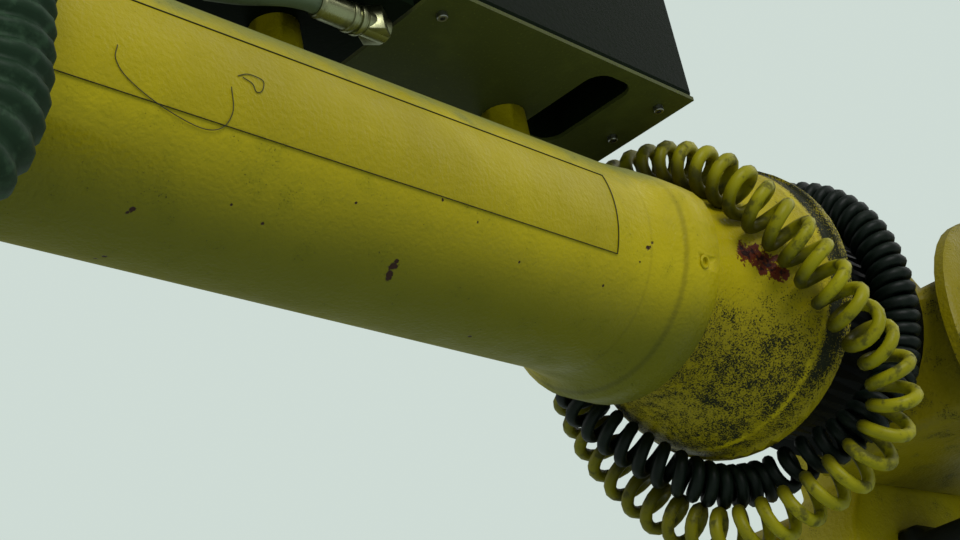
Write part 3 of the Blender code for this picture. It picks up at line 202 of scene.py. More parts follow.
# Parts shown by a smooth-shaded copy
SMOOTH_PARTS = (
    "neck_flange", "forearm_tube", "roll_housing", "wrist_housing", "wrist_cover_near", "wrist_cover_far",
    "wrist_nose", "wrist_unit", "tool_flange", "elbow_casing", "elbow_side_cover", "elbow_motor",
    "elbow_reducer", "elbow_hub_cover", "elbow_lug", "wrist_motor_upper", "wrist_motor_left",
    "wrist_motor_right", "lower_arm", "shoulder_hub_cover", "shoulder_reducer", "shoulder_motor",
    "turret_motor", "turret_casting", "turret_plate", "slew_ring", "base_casting", "box_post_rear",
    "box_post_front", "box_lid", "connector_box",
)
# Edges sharper than these angles stay sharp, on copies of model parts and on new pieces
COPY_SHARP_ANGLE = 32
NEW_SHARP_ANGLE = 35
# Parts drawn thinner, away from their screws' face, so that the screw heads stay inside the model's box:
# direction of that face, how much thinner
THINNED = {
    "box_lid": ((0, 0, 1), 0.0052),
    "connector_box": ((-1, 0, 0), 0.0057),
    "shoulder_hub_cover": ((0, -1, 0), 0.0079),
    "elbow_hub_cover": ((0, -1, 0), 0.0068),
}
# Rings of screws: part, direction of its face, circle as a share of its half width, count, head radius
RINGS_OF_SCREWS = (
    ("elbow_side_cover", (0, 1, 0), 0.82, 12, 0.007),
    ("motor_plate", (-1, 0, 0), 0.9, 8, 0.006),
    ("elbow_hub_cover", (0, -1, 0), 0.8, 12, 0.006),
    ("shoulder_hub_cover", (0, -1, 0), 0.84, 16, 0.007),
    ("wrist_cover_near", (0, 1, 0), 0.84, 8, 0.0045),
    ("wrist_cover_far", (0, -1, 0), 0.84, 8, 0.0045),
    ("turret_plate", (0, 0, 1), 0.915, 20, 0.008),
    ("wrist_motor_upper", (-1, 0, 0), 0.58, 4, 0.0036),
    ("wrist_motor_left", (-1, 0, 0), 0.58, 4, 0.0036),
    ("wrist_motor_right", (-1, 0, 0), 0.58, 4, 0.0036),
    ("turret_motor", (0, 0, 1), 0.58, 4, 0.005),
    ("elbow_motor", (0, 1, 0), 0.58, 4, 0.0036),
)
# Single screws: part, direction of its face, places as shares of the part's box, head radius
SETS_OF_SCREWS = (
    ("box_bottom_plate", (0, 0, -1), (
        (0.0708, 0.885, 0.0), (0.0708, 0.624, 0.0), (0.0708, 0.115, 0.0), (0.0708, 0.376, 0.0),
        (0.93, 0.885, 0.0), (0.93, 0.115, 0.0),
    ), 0.0046),
    ("box_lid", (0, 0, 1), (
        (0.04, 0.055, 1.0), (0.04, 0.5, 1.0), (0.04, 0.945, 1.0),
        (0.96, 0.055, 1.0), (0.96, 0.5, 1.0), (0.96, 0.945, 1.0),
    ), 0.0045),
    ("bracket_plate", (0, 0, -1), ((0.9, 0.88, 0.0), (0.9, 0.12, 0.0), (0.16, 0.12, 0.0)), 0.005),
    ("floor_plate", (0, 0, 1), (
        (0.094, 0.094, 1.0), (0.094, 0.906, 1.0), (0.906, 0.094, 1.0), (0.906, 0.906, 1.0),
    ), 0.023),
    ("connector_box", (-1, 0, 0), (
        (0.0, 0.07, 0.12), (0.0, 0.93, 0.12), (0.0, 0.07, 0.88), (0.0, 0.93, 0.88),
    ), 0.005),
)
# A screw head's height as a share of its radius, and its outline above its foot as shares of both
SCREW_HEIGHT_SHARE = 1.1
SCREW_OUTLINE_SHARES = ((0.88, 1.0), (1.0, 0.9), (1.0, 0.52), (0.35, 0.52))

# Colours that go with those of the panel
PRIMER = (0.03, 0.01, 0.005)
RUST_HALO = (0.1, 0.016, 0.003)
RUST_CORE = (0.018, 0.003, 0.002)
RUST_HALO_SHARE = 2.1
# The tube's top: grey-green dust, with a painted sheen along its top edge
TUBE_DUST_AND_SHEEN = (0.165, 0.195, 0.07)
# Painted bounce light: the box's underside drawn lighter and yellower than its black paint
UNDERSIDE_BOUNCE_LIGHT = (0.052, 0.06, 0.014)
YELLOW_CORD_DIRT = (0.02, 0.022, 0.01)
BLACK_CORD_DIRT = (0.009, 0.015, 0.009)
HOSE_DUST = (0.04, 0.08, 0.042)
PIPE_DUST = (0.05, 0.055, 0.045)
AIR_PIPE = (0.085, 0.115, 0.065)
AIR_PIPE_DIRT = (0.03, 0.035, 0.02)
THREAD = (0.05, 0.05, 0.03)
THREAD_DIRT = (0.02, 0.02, 0.01)
SKY_LIGHT = (0.27, 0.29, 0.28)
# What every colour on the panel has in common
COLOUR = {"subtype": "COLOR", "size": 3, "min": 0, "max": 1}
# Sun lamps: name, the place that each shines from, power, spread in degrees
LAMPS = (
    ("key_light", (3.0, 5.2, 5.4), 1.9, 30),
    ("fill_light", (4.4, -4.8, 5.0), 0.45, 50),
    ("rear_light", (-4.4, 2.6, 6.0), 0.55, 50),
)
LAMP_TARGET = RIM + Vector((0.25, 0.0, 0.0))
FLOOR_SIZE = 300.0
FLOOR_DROP = 0.0005
CAMERA_PLACE = (1.975, 0.7938, 1.3314)
CAMERA_FORWARD = Vector((-0.68922, -0.57538, 0.44035))
CAMERA_RIGHT = Vector((-0.69575, 0.69522, -0.18055))


class RobotColours(bpy.types.PropertyGroup):
    yellow: bpy.props.FloatVectorProperty(
        name="Yellow paint", description="Colour of the castings",
        default=(0.40, 0.325, 0.002), **COLOUR,
    )
    grime: bpy.props.FloatVectorProperty(
        name="Grime", description="Colour of the oily dirt on the paint",
        default=(0.012, 0.014, 0.004), **COLOUR,
    )
    machine_black: bpy.props.FloatVectorProperty(
        name="Black paint", description="Colour of motors, gearbox and clamps",
        default=(0.011, 0.013, 0.012), **COLOUR,
    )
    box: bpy.props.FloatVectorProperty(
        name="Box paint", description="Colour of the box above the forearm",
        default=(0.0036, 0.0068, 0.0030), **COLOUR,
    )
    steel: bpy.props.FloatVectorProperty(
        name="Steel", description="Colour of bare steel",
        default=(0.36, 0.36, 0.33), **COLOUR,
    )
    brass: bpy.props.FloatVectorProperty(
        name="Brass", description="Colour of the air fitting",
        default=(0.30, 0.31, 0.17), **COLOUR,
    )
    yellow_jacket: bpy.props.FloatVectorProperty(
        name="Yellow cord", description="Colour of the yellow cord's jacket",
        default=(0.260, 0.240, 0.004), **COLOUR,
    )
    black_jacket: bpy.props.FloatVectorProperty(
        name="Black cord", description="Colour of the black cord's jacket",
        default=(0.0025, 0.0060, 0.0035), **COLOUR,
    )
    hose: bpy.props.FloatVectorProperty(
        name="Hose", description="Colour of the ribbed wrist hose",
        default=(0.010, 0.027, 0.012), **COLOUR,
    )
    backdrop: bpy.props.FloatVectorProperty(
        name="Backdrop", description="Colour behind and under the robot",
        default=(0.62, 0.71, 0.665), **COLOUR,
    )


class RobotSizes(bpy.types.PropertyGroup):
    yellow_coil_radius: bpy.props.FloatProperty(
        name="Yellow coil radius", description="Outer radius of the yellow coil", unit="LENGTH",
        default=0.0255,
    )
    yellow_cord_radius: bpy.props.FloatProperty(
        name="Yellow cord radius", description="Half the yellow cord's thickness", unit="LENGTH",
        default=0.0062,
    )
    black_coil_radius: bpy.props.FloatProperty(
        name="Black coil radius", description="Outer radius of the black coil", unit="LENGTH",
        default=0.0222,
    )
    black_cord_radius: bpy.props.FloatProperty(
        name="Black cord radius", description="Half the black cord's thickness", unit="LENGTH",
        default=0.0062,
    )
    hose_radius: bpy.props.FloatProperty(
        name="Hose radius", description="Outer radius of the ribbed hose", unit="LENGTH", default=0.0298,
    )
    hose_rib_pitch: bpy.props.FloatProperty(
        name="Hose rib pitch", description="Distance from one hose rib to the next", unit="LENGTH",
        default=0.0148,
    )
    hose_rib_depth: bpy.props.FloatProperty(
        name="Hose rib depth", description="Depth of the valleys between hose ribs", unit="LENGTH",
        default=0.0046,
    )
    film_thickness: bpy.props.FloatProperty(
        name="Film thickness", description="Thickness of the label film", unit="LENGTH", default=0.00035,
    )
    camera_lens: bpy.props.FloatProperty(
        name="Camera lens", description="Focal length of the camera", unit="CAMERA", default=63.0,
    )


# Shader building blocks


def add_node(tree, kind, inputs=None, **settings):
    """A shader node with its settings and inputs given at once. An input may be a value or a socket."""
    made = tree.nodes.new("ShaderNode" + kind)
    for name, value in settings.items():
        setattr(made, name, value)
    for key, value in (inputs or {}).items():
        if isinstance(value, bpy.types.NodeSocket):
            tree.links.new(value, made.inputs[key])
        else:
            made.inputs[key].default_value = value
    return made


def start_material(name, roughness, metallic=0.0, shine=0.5):
    """A new material, its tree and shader, and the shaded point in object coordinates."""
    material = bpy.data.materials.new(name)
    material.use_nodes = True
    tree = material.node_tree
    shader = tree.nodes["Principled BSDF"]
    for key, value in (("Roughness", roughness), ("Metallic", metallic), ("Specular IOR Level", shine)):
        shader.inputs[key].default_value = value
    return material, tree, shader, add_node(tree, "TexCoord").outputs["Object"]


def noise(tree, point, scale, detail=3.0, roughness=0.55):
    inputs = {"Vector": point, "Scale": scale, "Detail": detail, "Roughness": roughness}
    return add_node(tree, "TexNoise", inputs).outputs["Fac"]


def ramp(tree, value, start, end, low=0.0, high=1.0):
    """A smooth step of value: low up to start, high from end on."""
    made = add_node(
        tree, "MapRange",
        {"Value": value, "From Min": start, "From Max": end, "To Min": low, "To Max": high},
        interpolation_type="SMOOTHSTEP",
    )
    return made.outputs["Result"]


def math_node(tree, operation, a, b=0.0):
    return add_node(tree, "Math", {0: a, 1: b}, operation=operation).outputs[0]


def plus(tree, a, b):
    return math_node(tree, "ADD", a, b)


def minus(tree, a, b):
    return math_node(tree, "SUBTRACT", a, b)


def times(tree, a, b):
    return math_node(tree, "MULTIPLY", a, b)


def largest(tree, a, b):
    return math_node(tree, "MAXIMUM", a, b)


def blend(tree, share, a, b):
    made = add_node(tree, "Mix", data_type="RGBA")
    tree.links.new(share, made.inputs["Factor"])
    for key, value in (("A", a), ("B", b)):
        socket = [s for s in made.inputs if s.name == key and s.type == "RGBA"][0]
        if isinstance(value, bpy.types.NodeSocket):
            tree.links.new(value, socket)
        else:
            socket.default_value = (*value, 1)
    return [s for s in made.outputs if s.type == "RGBA"][0]


def scaled(colour, factor):
    return tuple(min(1.0, channel * factor) for channel in colour)


def finish_shader(tree, shader, colour, roughness, relief, strength, distance):
    """Link a finish's colour, roughness and relief to its shader."""
    bump = add_node(tree, "Bump", {"Height": relief, "Strength": strength, "Distance": distance})
    for key, socket in (("Base Color", colour), ("Roughness", roughness), ("Normal", bump.outputs["Normal"])):
        tree.links.new(socket, shader.inputs[key])


def spot_mask(tree, point, centre, radius, ragged):
    """1 inside a ragged spot round a point, 0 outside it."""
    away = add_node(tree, "VectorMath", {0: point, 1: tuple(centre)}, operation="DISTANCE").outputs["Value"]
    reach = plus(tree, away, times(tree, ragged, radius * 2.4))
    return ramp(tree, reach, radius * 2.2, radius * 1.9)


# Finishes


def forearm_place(along, angle, radius):
    """A point on the forearm: distance past the rim, degrees up from the near side, and radius."""
    turn = math.radians(angle)
    return RIM + Vector((along, radius * math.cos(turn), radius * math.sin(turn)))


def tube_shade_dust_and_sheen(tree, height, blotch, yellow, colour):
    """The tube's colour: painted shade on its under side, and dust with a painted sheen on top."""
    # Painted shade: the under side drawn in a darker copy of the yellow
    under = ramp(tree, height, RIM.z - TUBE_RADIUS * 0.42, RIM.z - TUBE_RADIUS * 1.04, 0.0, 0.92)
    shaded_underside = blend(tree, under, colour, (yellow[0] * 0.24, yellow[1] * 0.31, yellow[2]))
    # Dust on top, with a painted sheen along the top edge
    lift = plus(tree, height, times(tree, blotch, TUBE_RADIUS * 0.5))
    dust = ramp(tree, lift, RIM.z + TUBE_RADIUS * 0.52, RIM.z + TUBE_RADIUS * 0.95, 0.0, 0.78)
    return blend(tree, dust, shaded_underside, TUBE_DUST_AND_SHEEN)


def neck_grime_and_edge_highlight(tree, point, along, height, blotch, yellow, colour, amount):
    """The neck's colour and amount of grime: more grime and a darker yellow below and at the rear, and a
    painted highlight at the rim's edge.
    """
    low = ramp(tree, height, RIM.z - RIM_RADIUS * 0.02, RIM.z - RIM_RADIUS * 0.62)
    rear = ramp(tree, along, RIM.x + RIM_RADIUS * 0.50, RIM.x + RIM_RADIUS * 0.16)
    clean = ramp(tree, along, RIM.x + RIM_RADIUS * 0.02, RIM.x + RIM_RADIUS * 0.15, 0.35, 1.0)
    cover = times(tree, largest(tree, low, times(tree, rear, 0.70)), clean)
    streak = noise(tree, point, 105.0, 4.0, 0.6)
    patchy = times(tree, cover, ramp(tree, streak, 0.38, 0.60, 0.66, 1.0))
    amount = plus(tree, amount, times(tree, patchy, 0.262))
    # A darker yellow below and at the rear
    colour = blend(tree, times(tree, cover, 0.62), colour, scaled(yellow, 0.42))
    across = plus(tree, along, times(tree, streak, 0.006))
    lip = ramp(tree, across, RIM.x + RIM_RADIUS * 0.235, RIM.x + RIM_RADIUS * 0.21)
    lip_side = ramp(tree, height, RIM.z - RIM_RADIUS * 0.86, RIM.z - RIM_RADIUS * 0.62, 0.0, 0.19)
    amount = plus(tree, amount, times(tree, lip, lip_side))
    # Painted highlight: a brighter yellow line along the rim's edge, with less grime on it
    from_edge = math_node(tree, "ABSOLUTE", minus(tree, across, RIM.x + RIM_RADIUS * 0.265))
    edge = ramp(tree, from_edge, RIM_RADIUS * 0.030, RIM_RADIUS * 0.006, 0.0, 0.60)
    edge = times(tree, edge, ramp(tree, blotch, 0.38, 0.58, 0.25, 1.0))
    colour = blend(tree, edge, colour, scaled(yellow, 1.22))
    return colour, minus(tree, amount, times(tree, edge, 0.20))


def draw_ring_shade_and_dirt(tree, along, height, speck, line, colour, dirt):
    """A colour with a dark line round the tube on it, painted shade at the ring's step with dirt in it, which
    fades out towards the top.
    """
    place, width, share = line
    away = math_node(tree, "ABSOLUTE", minus(tree, along, RIM.x + place))
    band = ramp(tree, plus(tree, away, times(tree, speck, width)), width * 1.6, width * 0.6)
    side = ramp(tree, height, RIM.z + TUBE_RADIUS * 0.9, RIM.z - TUBE_RADIUS * 0.2)
    return blend(tree, times(tree, times(tree, band, side), share), colour, dirt)


def add_spots(tree, point, ragged, spots, colour, spot_colour):
    """A colour with ragged spots of another on it, and the mask of them all. A spot is (place, radius)."""
    masks = None
    for place, radius in spots:
        mask = spot_mask(tree, point, place, radius, ragged)
        colour = blend(tree, mask, colour, spot_colour)
        masks = mask if masks is None else largest(tree, masks, mask)
    return colour, masks


def yellow_paint(colours, name, grime_level, chips=(), rust=(), with_neck_grime_and_highlight=False, film=0.0, ring_shade_and_dirt_lines=(),
                 tone=1.0):
    """Old gloss paint with orange peel, patchy oily grime, rust, and chips down to dark primer."""
    yellow = scaled(colours.yellow, tone)
    dirt = colours.grime
    material, tree, shader, point = start_material(name, 0.42, shine=0.18)
    parts = add_node(tree, "SeparateXYZ", {"Vector": point})
    along, height = parts.outputs["X"], parts.outputs["Z"]
    broad = noise(tree, point, 7.0, 4.0)
    blotch = noise(tree, point, 34.0, 5.0, 0.6)
    speck = noise(tree, point, 640.0, 2.5, 0.75)
    ragged = noise(tree, point, 260.0, 3.0)
    body = blend(tree, ramp(tree, broad, 0.35, 0.68), scaled(yellow, 0.86), scaled(yellow, 1.06))
    stained = (yellow[0] * 0.60, yellow[1] * 0.68, yellow[2])
    colour = blend(tree, ramp(tree, blotch, 0.50, 0.72, 0.0, 0.40 - film), body, stained)
    # On the tube: painted shade below, and dust with a painted sheen on top
    if chips:
        colour = tube_shade_dust_and_sheen(tree, height, blotch, yellow, colour)
    amount = times(tree, ramp(tree, blotch, 0.40, 0.72), grime_level)
    # On the neck: grime, and a painted highlight at the rim's edge
    if with_neck_grime_and_highlight:
        colour, amount = neck_grime_and_edge_highlight(tree, point, along, height, blotch, yellow, colour, amount)
    # Painted shade with dirt along the ring's steps
    for line in ring_shade_and_dirt_lines:
        colour = draw_ring_shade_and_dirt(tree, along, height, speck, line, colour, dirt)
    grime = ramp(tree, plus(tree, speck, amount), 0.745, 0.815)
    colour = blend(tree, grime, colour, dirt)
    spots = [(forearm_place(past_rim, angle, TUBE_RADIUS), size) for past_rim, angle, size in chips]
    colour, dents = add_spots(tree, point, ragged, spots, colour, PRIMER)
    for spread, tint in ((RUST_HALO_SHARE, RUST_HALO), (1.0, RUST_CORE)):
        spots = [(forearm_place(*place), size * spread) for *place, size in rust]
        colour, _ = add_spots(tree, point, ragged, spots, colour, tint)
    rough = plus(tree, ramp(tree, blotch, 0.3, 0.7, 0.38, 0.54), times(tree, grime, 0.25))
    peel = noise(tree, point, 250.0, 2.5, 0.55)
    relief = plus(tree, times(tree, peel, 0.8), times(tree, grime, 0.8))
    if dents is not None:
        relief = minus(tree, relief, dents)
    finish_shader(tree, shader, colour, rough, relief, 0.8, 0.0015)
    return material


def black_paint(colour, name="black_paint_worn", dust_share=0.4, shine=0.2):
    material, tree, shader, point = start_material(name, 0.5, shine=shine)
    dust = ramp(tree, noise(tree, point, 24.0, 6.0, 0.65), 0.46, 0.78, 0.0, dust_share)
    speck = ramp(tree, noise(tree, point, 380.0, 2.0), 0.60, 0.72, 0.0, 0.35)
    share = largest(tree, dust, speck)
    mixed = blend(tree, share, colour, (colour[0] * 2.6, colour[1] * 2.6, colour[2] * 2.0))
    rough = ramp(tree, share, 0.0, 0.5, 0.38, 0.62)
    finish_shader(tree, shader, mixed, rough, noise(tree, point, 260.0, 3.0), 0.35, 0.0006)
    return material


def steel_finish(colour, name="machined_steel"):
    material, tree, shader, point = start_material(name, 0.34, 1.0)
    stain = noise(tree, point, 46.0, 6.0, 0.6)
    mixed = blend(tree, ramp(tree, stain, 0.44, 0.70), colour, scaled(colour, 0.45))
    rough = ramp(tree, stain, 0.35, 0.7, 0.26, 0.50)
    finish_shader(tree, shader, mixed, rough, noise(tree, point, 620.0, 2.0), 0.15, 0.0003)
    return material


def coil_painted_shade(tree, point, patch, colour, tint):
    """The yellow coil's colour, with painted shade where it faces the neck and on the forearm's far side."""
    parts = add_node(tree, "SeparateXYZ", {"Vector": point})
    lift = minus(tree, parts.outputs["Z"], RIM.z)
    side = minus(tree, parts.outputs["Y"], RIM.y)
    away = math_node(tree, "SQRT", plus(tree, times(tree, lift, lift), times(tree, side, side)))
    # The coil's middle line lies about this far from the forearm's axis at each height
    middle = add_node(
        tree, "MapRange",
        {"Value": lift, "From Min": 0.030, "From Max": -0.155, "To Min": 0.126, "To Max": 0.202},
    ).outputs["Result"]
    inner = plus(tree, minus(tree, away, middle), times(tree, patch, 0.012))
    inner = times(tree, ramp(tree, inner, 0.012, -0.010), 0.88)
    # Painted shade on the coil's inner side, where it faces the neck
    tint = blend(tree, inner, tint, scaled(colour, 0.13))
    # Painted shade on the forearm's far side
    far = ramp(tree, side, 0.02, -0.09, 0.0, 0.55)
    return blend(tree, far, tint, scaled(colour, 0.22))


def cord_jacket(colour, name, roughness, dirt_colour, dirt_share, with_coil_shade=False):
    """Soft plastic jacket, lighter and darker in broad patches and dirty in patches."""
    material, tree, shader, point = start_material(name, roughness, shine=0.14)
    patch = noise(tree, point, 60.0, 5.0, 0.62)
    fine = noise(tree, point, 520.0, 3.0, 0.6)
    broad = ramp(tree, noise(tree, point, 14.0), 0.35, 0.7)
    tint = blend(tree, broad, scaled(colour, 0.85), scaled(colour, 1.12))
    dirt = times(tree, ramp(tree, patch, 0.50, 0.66), dirt_share)
    dirt = largest(tree, dirt, ramp(tree, plus(tree, fine, patch), 1.18, 1.30, 0.0, dirt_share))
    # Painted shade on the yellow coil's inner and far sides
    if with_coil_shade:
        tint = coil_painted_shade(tree, point, patch, colour, tint)
    mixed = blend(tree, dirt, tint, dirt_colour)
    rough = ramp(tree, dirt, 0.0, 1.0, roughness, roughness + 0.3)
    finish_shader(tree, shader, mixed, rough, fine, 0.3, 0.0004)
    return material


def make_finishes(context):
    """The finish of each slot, and those of the parts that have their own."""
    colours = context.scene.robot_colours
    black = colours.machine_black
    finishes = {
        "robot_yellow": yellow_paint(colours, "yellow_paint", 0.20),
        "machine_black": black_paint(black),
        "box_olive": black_paint(colours.box, "box_paint_worn", 0.12, 0.02),
        "bare_steel": steel_finish(colours.steel),
        "green_hose": cord_jacket(colours.hose, "pipe_jacket", 0.4, PIPE_DUST, 0.4),
    }
    # Painted shade: the elbow's yellow drawn at half its tone
    elbow_shaded_paint = yellow_paint(colours, "yellow_paint_elbow_shaded", 0.24, tone=0.50)
    own = {
        "neck_flange": yellow_paint(colours, "yellow_paint_neck", 0.12, rust=RUST_PATCHES, with_neck_grime_and_highlight=True),
        # The box's underside: painted bounce light from the yellow tube, with specks of dust
        "box_bottom_plate": black_paint(UNDERSIDE_BOUNCE_LIGHT, "box_underside_bounce_light", 0.2, 0.05),
        # Painted shade: the roll housing drawn in a darker copy of the black paint
        "roll_housing": black_paint(scaled(black, 0.35), "housing_black_shaded", 0.3, 0.06),
        "elbow_casing": elbow_shaded_paint,
        "elbow_side_cover": elbow_shaded_paint,
        "forearm_tube": yellow_paint(
            colours, "yellow_paint_tube", 0.14, chips=PAINT_CHIPS, ring_shade_and_dirt_lines=TUBE_RING_SHADE_AND_DIRT
        ),
    }
    return finishes, own


# Modelling helpers


def link_piece(name, data, material, stands_for=(), body="forearm"):
    """A finished piece at the frame's origin, with its finish and the body that it rides on."""
    if isinstance(data, bmesh.types.BMesh):
        data = mesh_from(data, name)
    piece = bpy.data.objects.new(name, data)
    bpy.context.scene.collection.objects.link(piece)
    piece.data.materials.append(material)
    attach(piece, body)
    if stands_for:
        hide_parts(*stands_for)


def shade(mesh, sharp_angle):
    mesh.shade_smooth()
    mesh.set_sharp_from_angle(angle=math.radians(sharp_angle))


def mesh_from(bm, name):
    bmesh.ops.recalc_face_normals(bm, faces=bm.faces)
    mesh = bpy.data.meshes.new(name)
    bm.to_mesh(mesh)
    bm.free()
    shade(mesh, NEW_SHARP_ANGLE)
    return mesh


def thinned_by(name):
    return THINNED[name][1] if name in THINNED else 0.0


def smooth_copy(name):
    """A smooth-shaded copy of a model part's mesh, in place."""
    node = frame["nodes"][name]
    bm = bmesh.new()
    bm.from_mesh(node.data)
    bm.transform(node.matrix_world)
    bmesh.ops.remove_doubles(bm, verts=bm.verts, dist=2e-5)
    if name in THINNED:
        low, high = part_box(name)
        axis = Vector(THINNED[name][0])
        rear = Vector([a if way >= 0 else b for a, b, way in zip(low, high, axis)])
        depth = abs((high - low).dot(axis))
        share = (depth - thinned_by(name)) / depth
        bmesh.ops.scale(
            bm, verts=bm.verts, vec=[share if way else 1 for way in axis], space=Matrix.Translation(-rear)
        )
    if name == "forearm_tube":
        flatten_ring_top(bm)
    mesh = bpy.data.meshes.new(name + "_smooth")
    bm.to_mesh(mesh)
    bm.free()
    shade(mesh, COPY_SHARP_ANGLE)
    return mesh


def flatten_ring_top(bm):
    """Bring the ring at the tube's rear nearly down to the tube over its upper side, where it blends in."""
    to_axis = Matrix.Translation(-Vector((0, RIM.y, RIM.z)))
    for vert in bm.verts:
        radius = math.hypot(vert.co.y - RIM.y, vert.co.z - RIM.z)
        angle = math.degrees(math.atan2(vert.co.z - RIM.z, vert.co.y - RIM.y))
        # 0 up to 8 degrees, 1 from 46 to 130 degrees and 0 again from 175 degrees on
        top = min(1.0, max(0.0, (angle - 8.0) / 38.0)) if angle < 130 else max(0.0, (175.0 - angle) / 45.0)
        share = top * top * (3 - 2 * top)
        if vert.co.x - RIM.x < RING_END and radius > RING_FOOT and share > 0:
            wanted = RING_FOOT + (radius - RING_FOOT) * (1 - RING_FLATTENED_SHARE * share)
            bmesh.ops.scale(bm, verts=[vert], vec=(1, wanted / radius, wanted / radius), space=to_axis)


def bevel_edges(bm, edges, width):
    bmesh.ops.bevel(
        bm, geom=edges, offset=width, segments=2, affect="EDGES", profile=0.5, clamp_overlap=True, material=-1
    )


def rounded_box(low, high, bevel):
    """A box between two corners, with its edges rounded."""
    bm = bmesh.new()
    made = bmesh.ops.create_cube(bm, size=1.0)["verts"]
    bmesh.ops.scale(bm, verts=made, vec=high - low)
    bmesh.ops.translate(bm, verts=made, vec=(low + high) / 2)
    bevel_edges(bm, bm.edges[:], bevel)
    return bm


def add_socket_screw(bm, place, normal, radius, steps=20):
    """The head of a socket screw that stands on a face: a cylinder with a chamfer and a round recess."""
    height = radius * SCREW_HEIGHT_SHARE
    foot = bmesh.ops.create_circle(bm, cap_ends=False, radius=radius, segments=steps)["verts"]
    foot_edges = [edge for edge in bm.edges if edge.verts[0] in foot and edge.verts[1] in foot]
    ring = foot_edges
    head = set(foot)
    for lift, spread in SCREW_OUTLINE_SHARES:
        pulled = bmesh.ops.extrude_edge_only(bm, edges=ring)["geom"]
        verts = [item for item in pulled if isinstance(item, bmesh.types.BMVert)]
        ring = [item for item in pulled if isinstance(item, bmesh.types.BMEdge)]
        for vert in verts:
            flat = Vector((vert.co.x, vert.co.y, 0)).normalized() * radius * spread
            vert.co = Vector((flat.x, flat.y, height * lift))
        head |= set(verts)
    for edges in (ring, foot_edges):
        bmesh.ops.holes_fill(bm, edges=edges, sides=steps)
    turn = Vector(normal).to_track_quat("Z", "Y").to_matrix().to_4x4()
    bmesh.ops.transform(bm, matrix=Matrix.Translation(place) @ turn, verts=list(head))


def turned(profile, centre, axis, steps=48):
    """A closed body of revolution. Its profile, (distance along the axis, radius) pairs, ends on the axis."""
    bm = bmesh.new()
    made = [bm.verts.new((radius, 0.0, along)) for along, radius in profile]
    edges = [bm.edges.new(pair) for pair in zip(made, made[1:])]
    bmesh.ops.spin(
        bm, geom=made + edges, cent=(0, 0, 0), axis=(0, 0, 1), dvec=(0, 0, 0), angle=math.tau, steps=steps,
        use_merge=True, use_normal_flip=False, use_duplicate=False,
    )
    turn = Vector(axis).to_track_quat("Z", "Y").to_matrix().to_4x4()
    bmesh.ops.transform(bm, matrix=Matrix.Translation(centre) @ turn, verts=bm.verts)
    bmesh.ops.remove_doubles(bm, verts=bm.verts, dist=1e-5)
    return bm


def ring_of_screws(bm, centre, axis, circle, count, radius):
    """Screw heads on a circle round an axis, from half a step on."""
    axis = Vector(axis).normalized()
    side = axis.orthogonal().normalized()
    other = axis.cross(side)
    for index in range(count):
        angle = math.tau * index / count + math.pi / count
        place = Vector(centre) + (side * math.cos(angle) + other * math.sin(angle)) * circle
        add_socket_screw(bm, place, axis, radius)


def smooth_route(route, steps):
    """A smooth curve through a route's points, with steps between each two of them."""
    knots = [Vector(point) + RIM for point in route]
    knots = [2 * knots[0] - knots[1]] + knots + [2 * knots[-1] - knots[-2]]
    points = []
    for a, b, c, d in zip(knots, knots[1:], knots[2:], knots[3:]):
        for step in range(steps):
            t = step / steps
            points.append(
                b + (c - a) * (t / 2) + (a - 2.5 * b + 2 * c - d / 2) * t**2
                + (b * 1.5 - c * 1.5 + d / 2 - a / 2) * t**3
            )
    return points + [knots[-2]]


class Path:
    """A route measured along its length, with a frame that doesn't twist."""

    def __init__(self, route, steps=24):
        self.points = smooth_route(route, steps)
        self.lengths = [0.0]
        for a, b in zip(self.points, self.points[1:]):
            self.lengths.append(self.lengths[-1] + (b - a).length)
        self.length = self.lengths[-1]
        self.tangents = []
        for i in range(len(self.points)):
            before = self.points[max(i - 1, 0)]
            after = self.points[min(i + 1, len(self.points) - 1)]
            self.tangents.append((after - before).normalized())
        normal = self.tangents[0].orthogonal().normalized()
        self.normals = [normal]
        for tangent in self.tangents[1:]:
            normal = (normal - tangent * normal.dot(tangent)).normalized()
            self.normals.append(normal)

    def at(self, distance):
        """The point, tangent and normal at a distance along the route."""
        distance = min(max(distance, 0.0), self.length)
        low = min(bisect.bisect_right(self.lengths, distance) - 1, len(self.lengths) - 2)
        high = low + 1
        share = (distance - self.lengths[low]) / max(self.lengths[high] - self.lengths[low], 1e-9)
        point = self.points[low].lerp(self.points[high], share)
        tangent = self.tangents[low].lerp(self.tangents[high], share).normalized()
        normal = self.normals[low].lerp(self.normals[high], share)
        normal = (normal - tangent * normal.dot(tangent)).normalized()
        return point, tangent, normal


def value_at(pairs, place):
    for (low, a), (high, b) in zip(pairs, pairs[1:]):
        if place <= high:
            return a + (b - a) * (place - low) / (high - low)
    return pairs[-1][1]


def coil_points(path, coil_radius, pitches, spreads, steps=16):
    """Points of a right-handed coil round a path. It leaves and ends on the path's own line."""
    points = []
    angle = 0.0
    distance = 0.0
    lead = coil_radius * COIL_LEAD_SHARE
    while distance < path.length:
        point, tangent, normal = path.at(distance)
        swing = min(1.0, distance / lead, (path.length - distance) / lead)
        reach = coil_radius * swing * value_at(spreads, distance)
        side = tangent.cross(normal)
        points.append(point + (normal * math.cos(angle) + side * math.sin(angle)) * reach)
        angle += math.tau / steps
        distance += value_at(pitches, distance) / steps
    points.append(path.at(path.length)[0])
    return points


def tube_curve(name, points, radius, resolution=3, swells=None):
    curve = bpy.data.curves.new(name, "CURVE")
    curve.dimensions = "3D"
    curve.bevel_depth = radius
    curve.bevel_resolution = resolution
    curve.use_fill_caps = True
    spline = curve.splines.new("POLY")
    spline.points.add(len(points) - 1)
    for index, (slot, point) in enumerate(zip(spline.points, points)):
        slot.co = (*point, 1)
        if swells:
            slot.radius = swells[index]
    spline.use_smooth = True
    return curve


# Operators


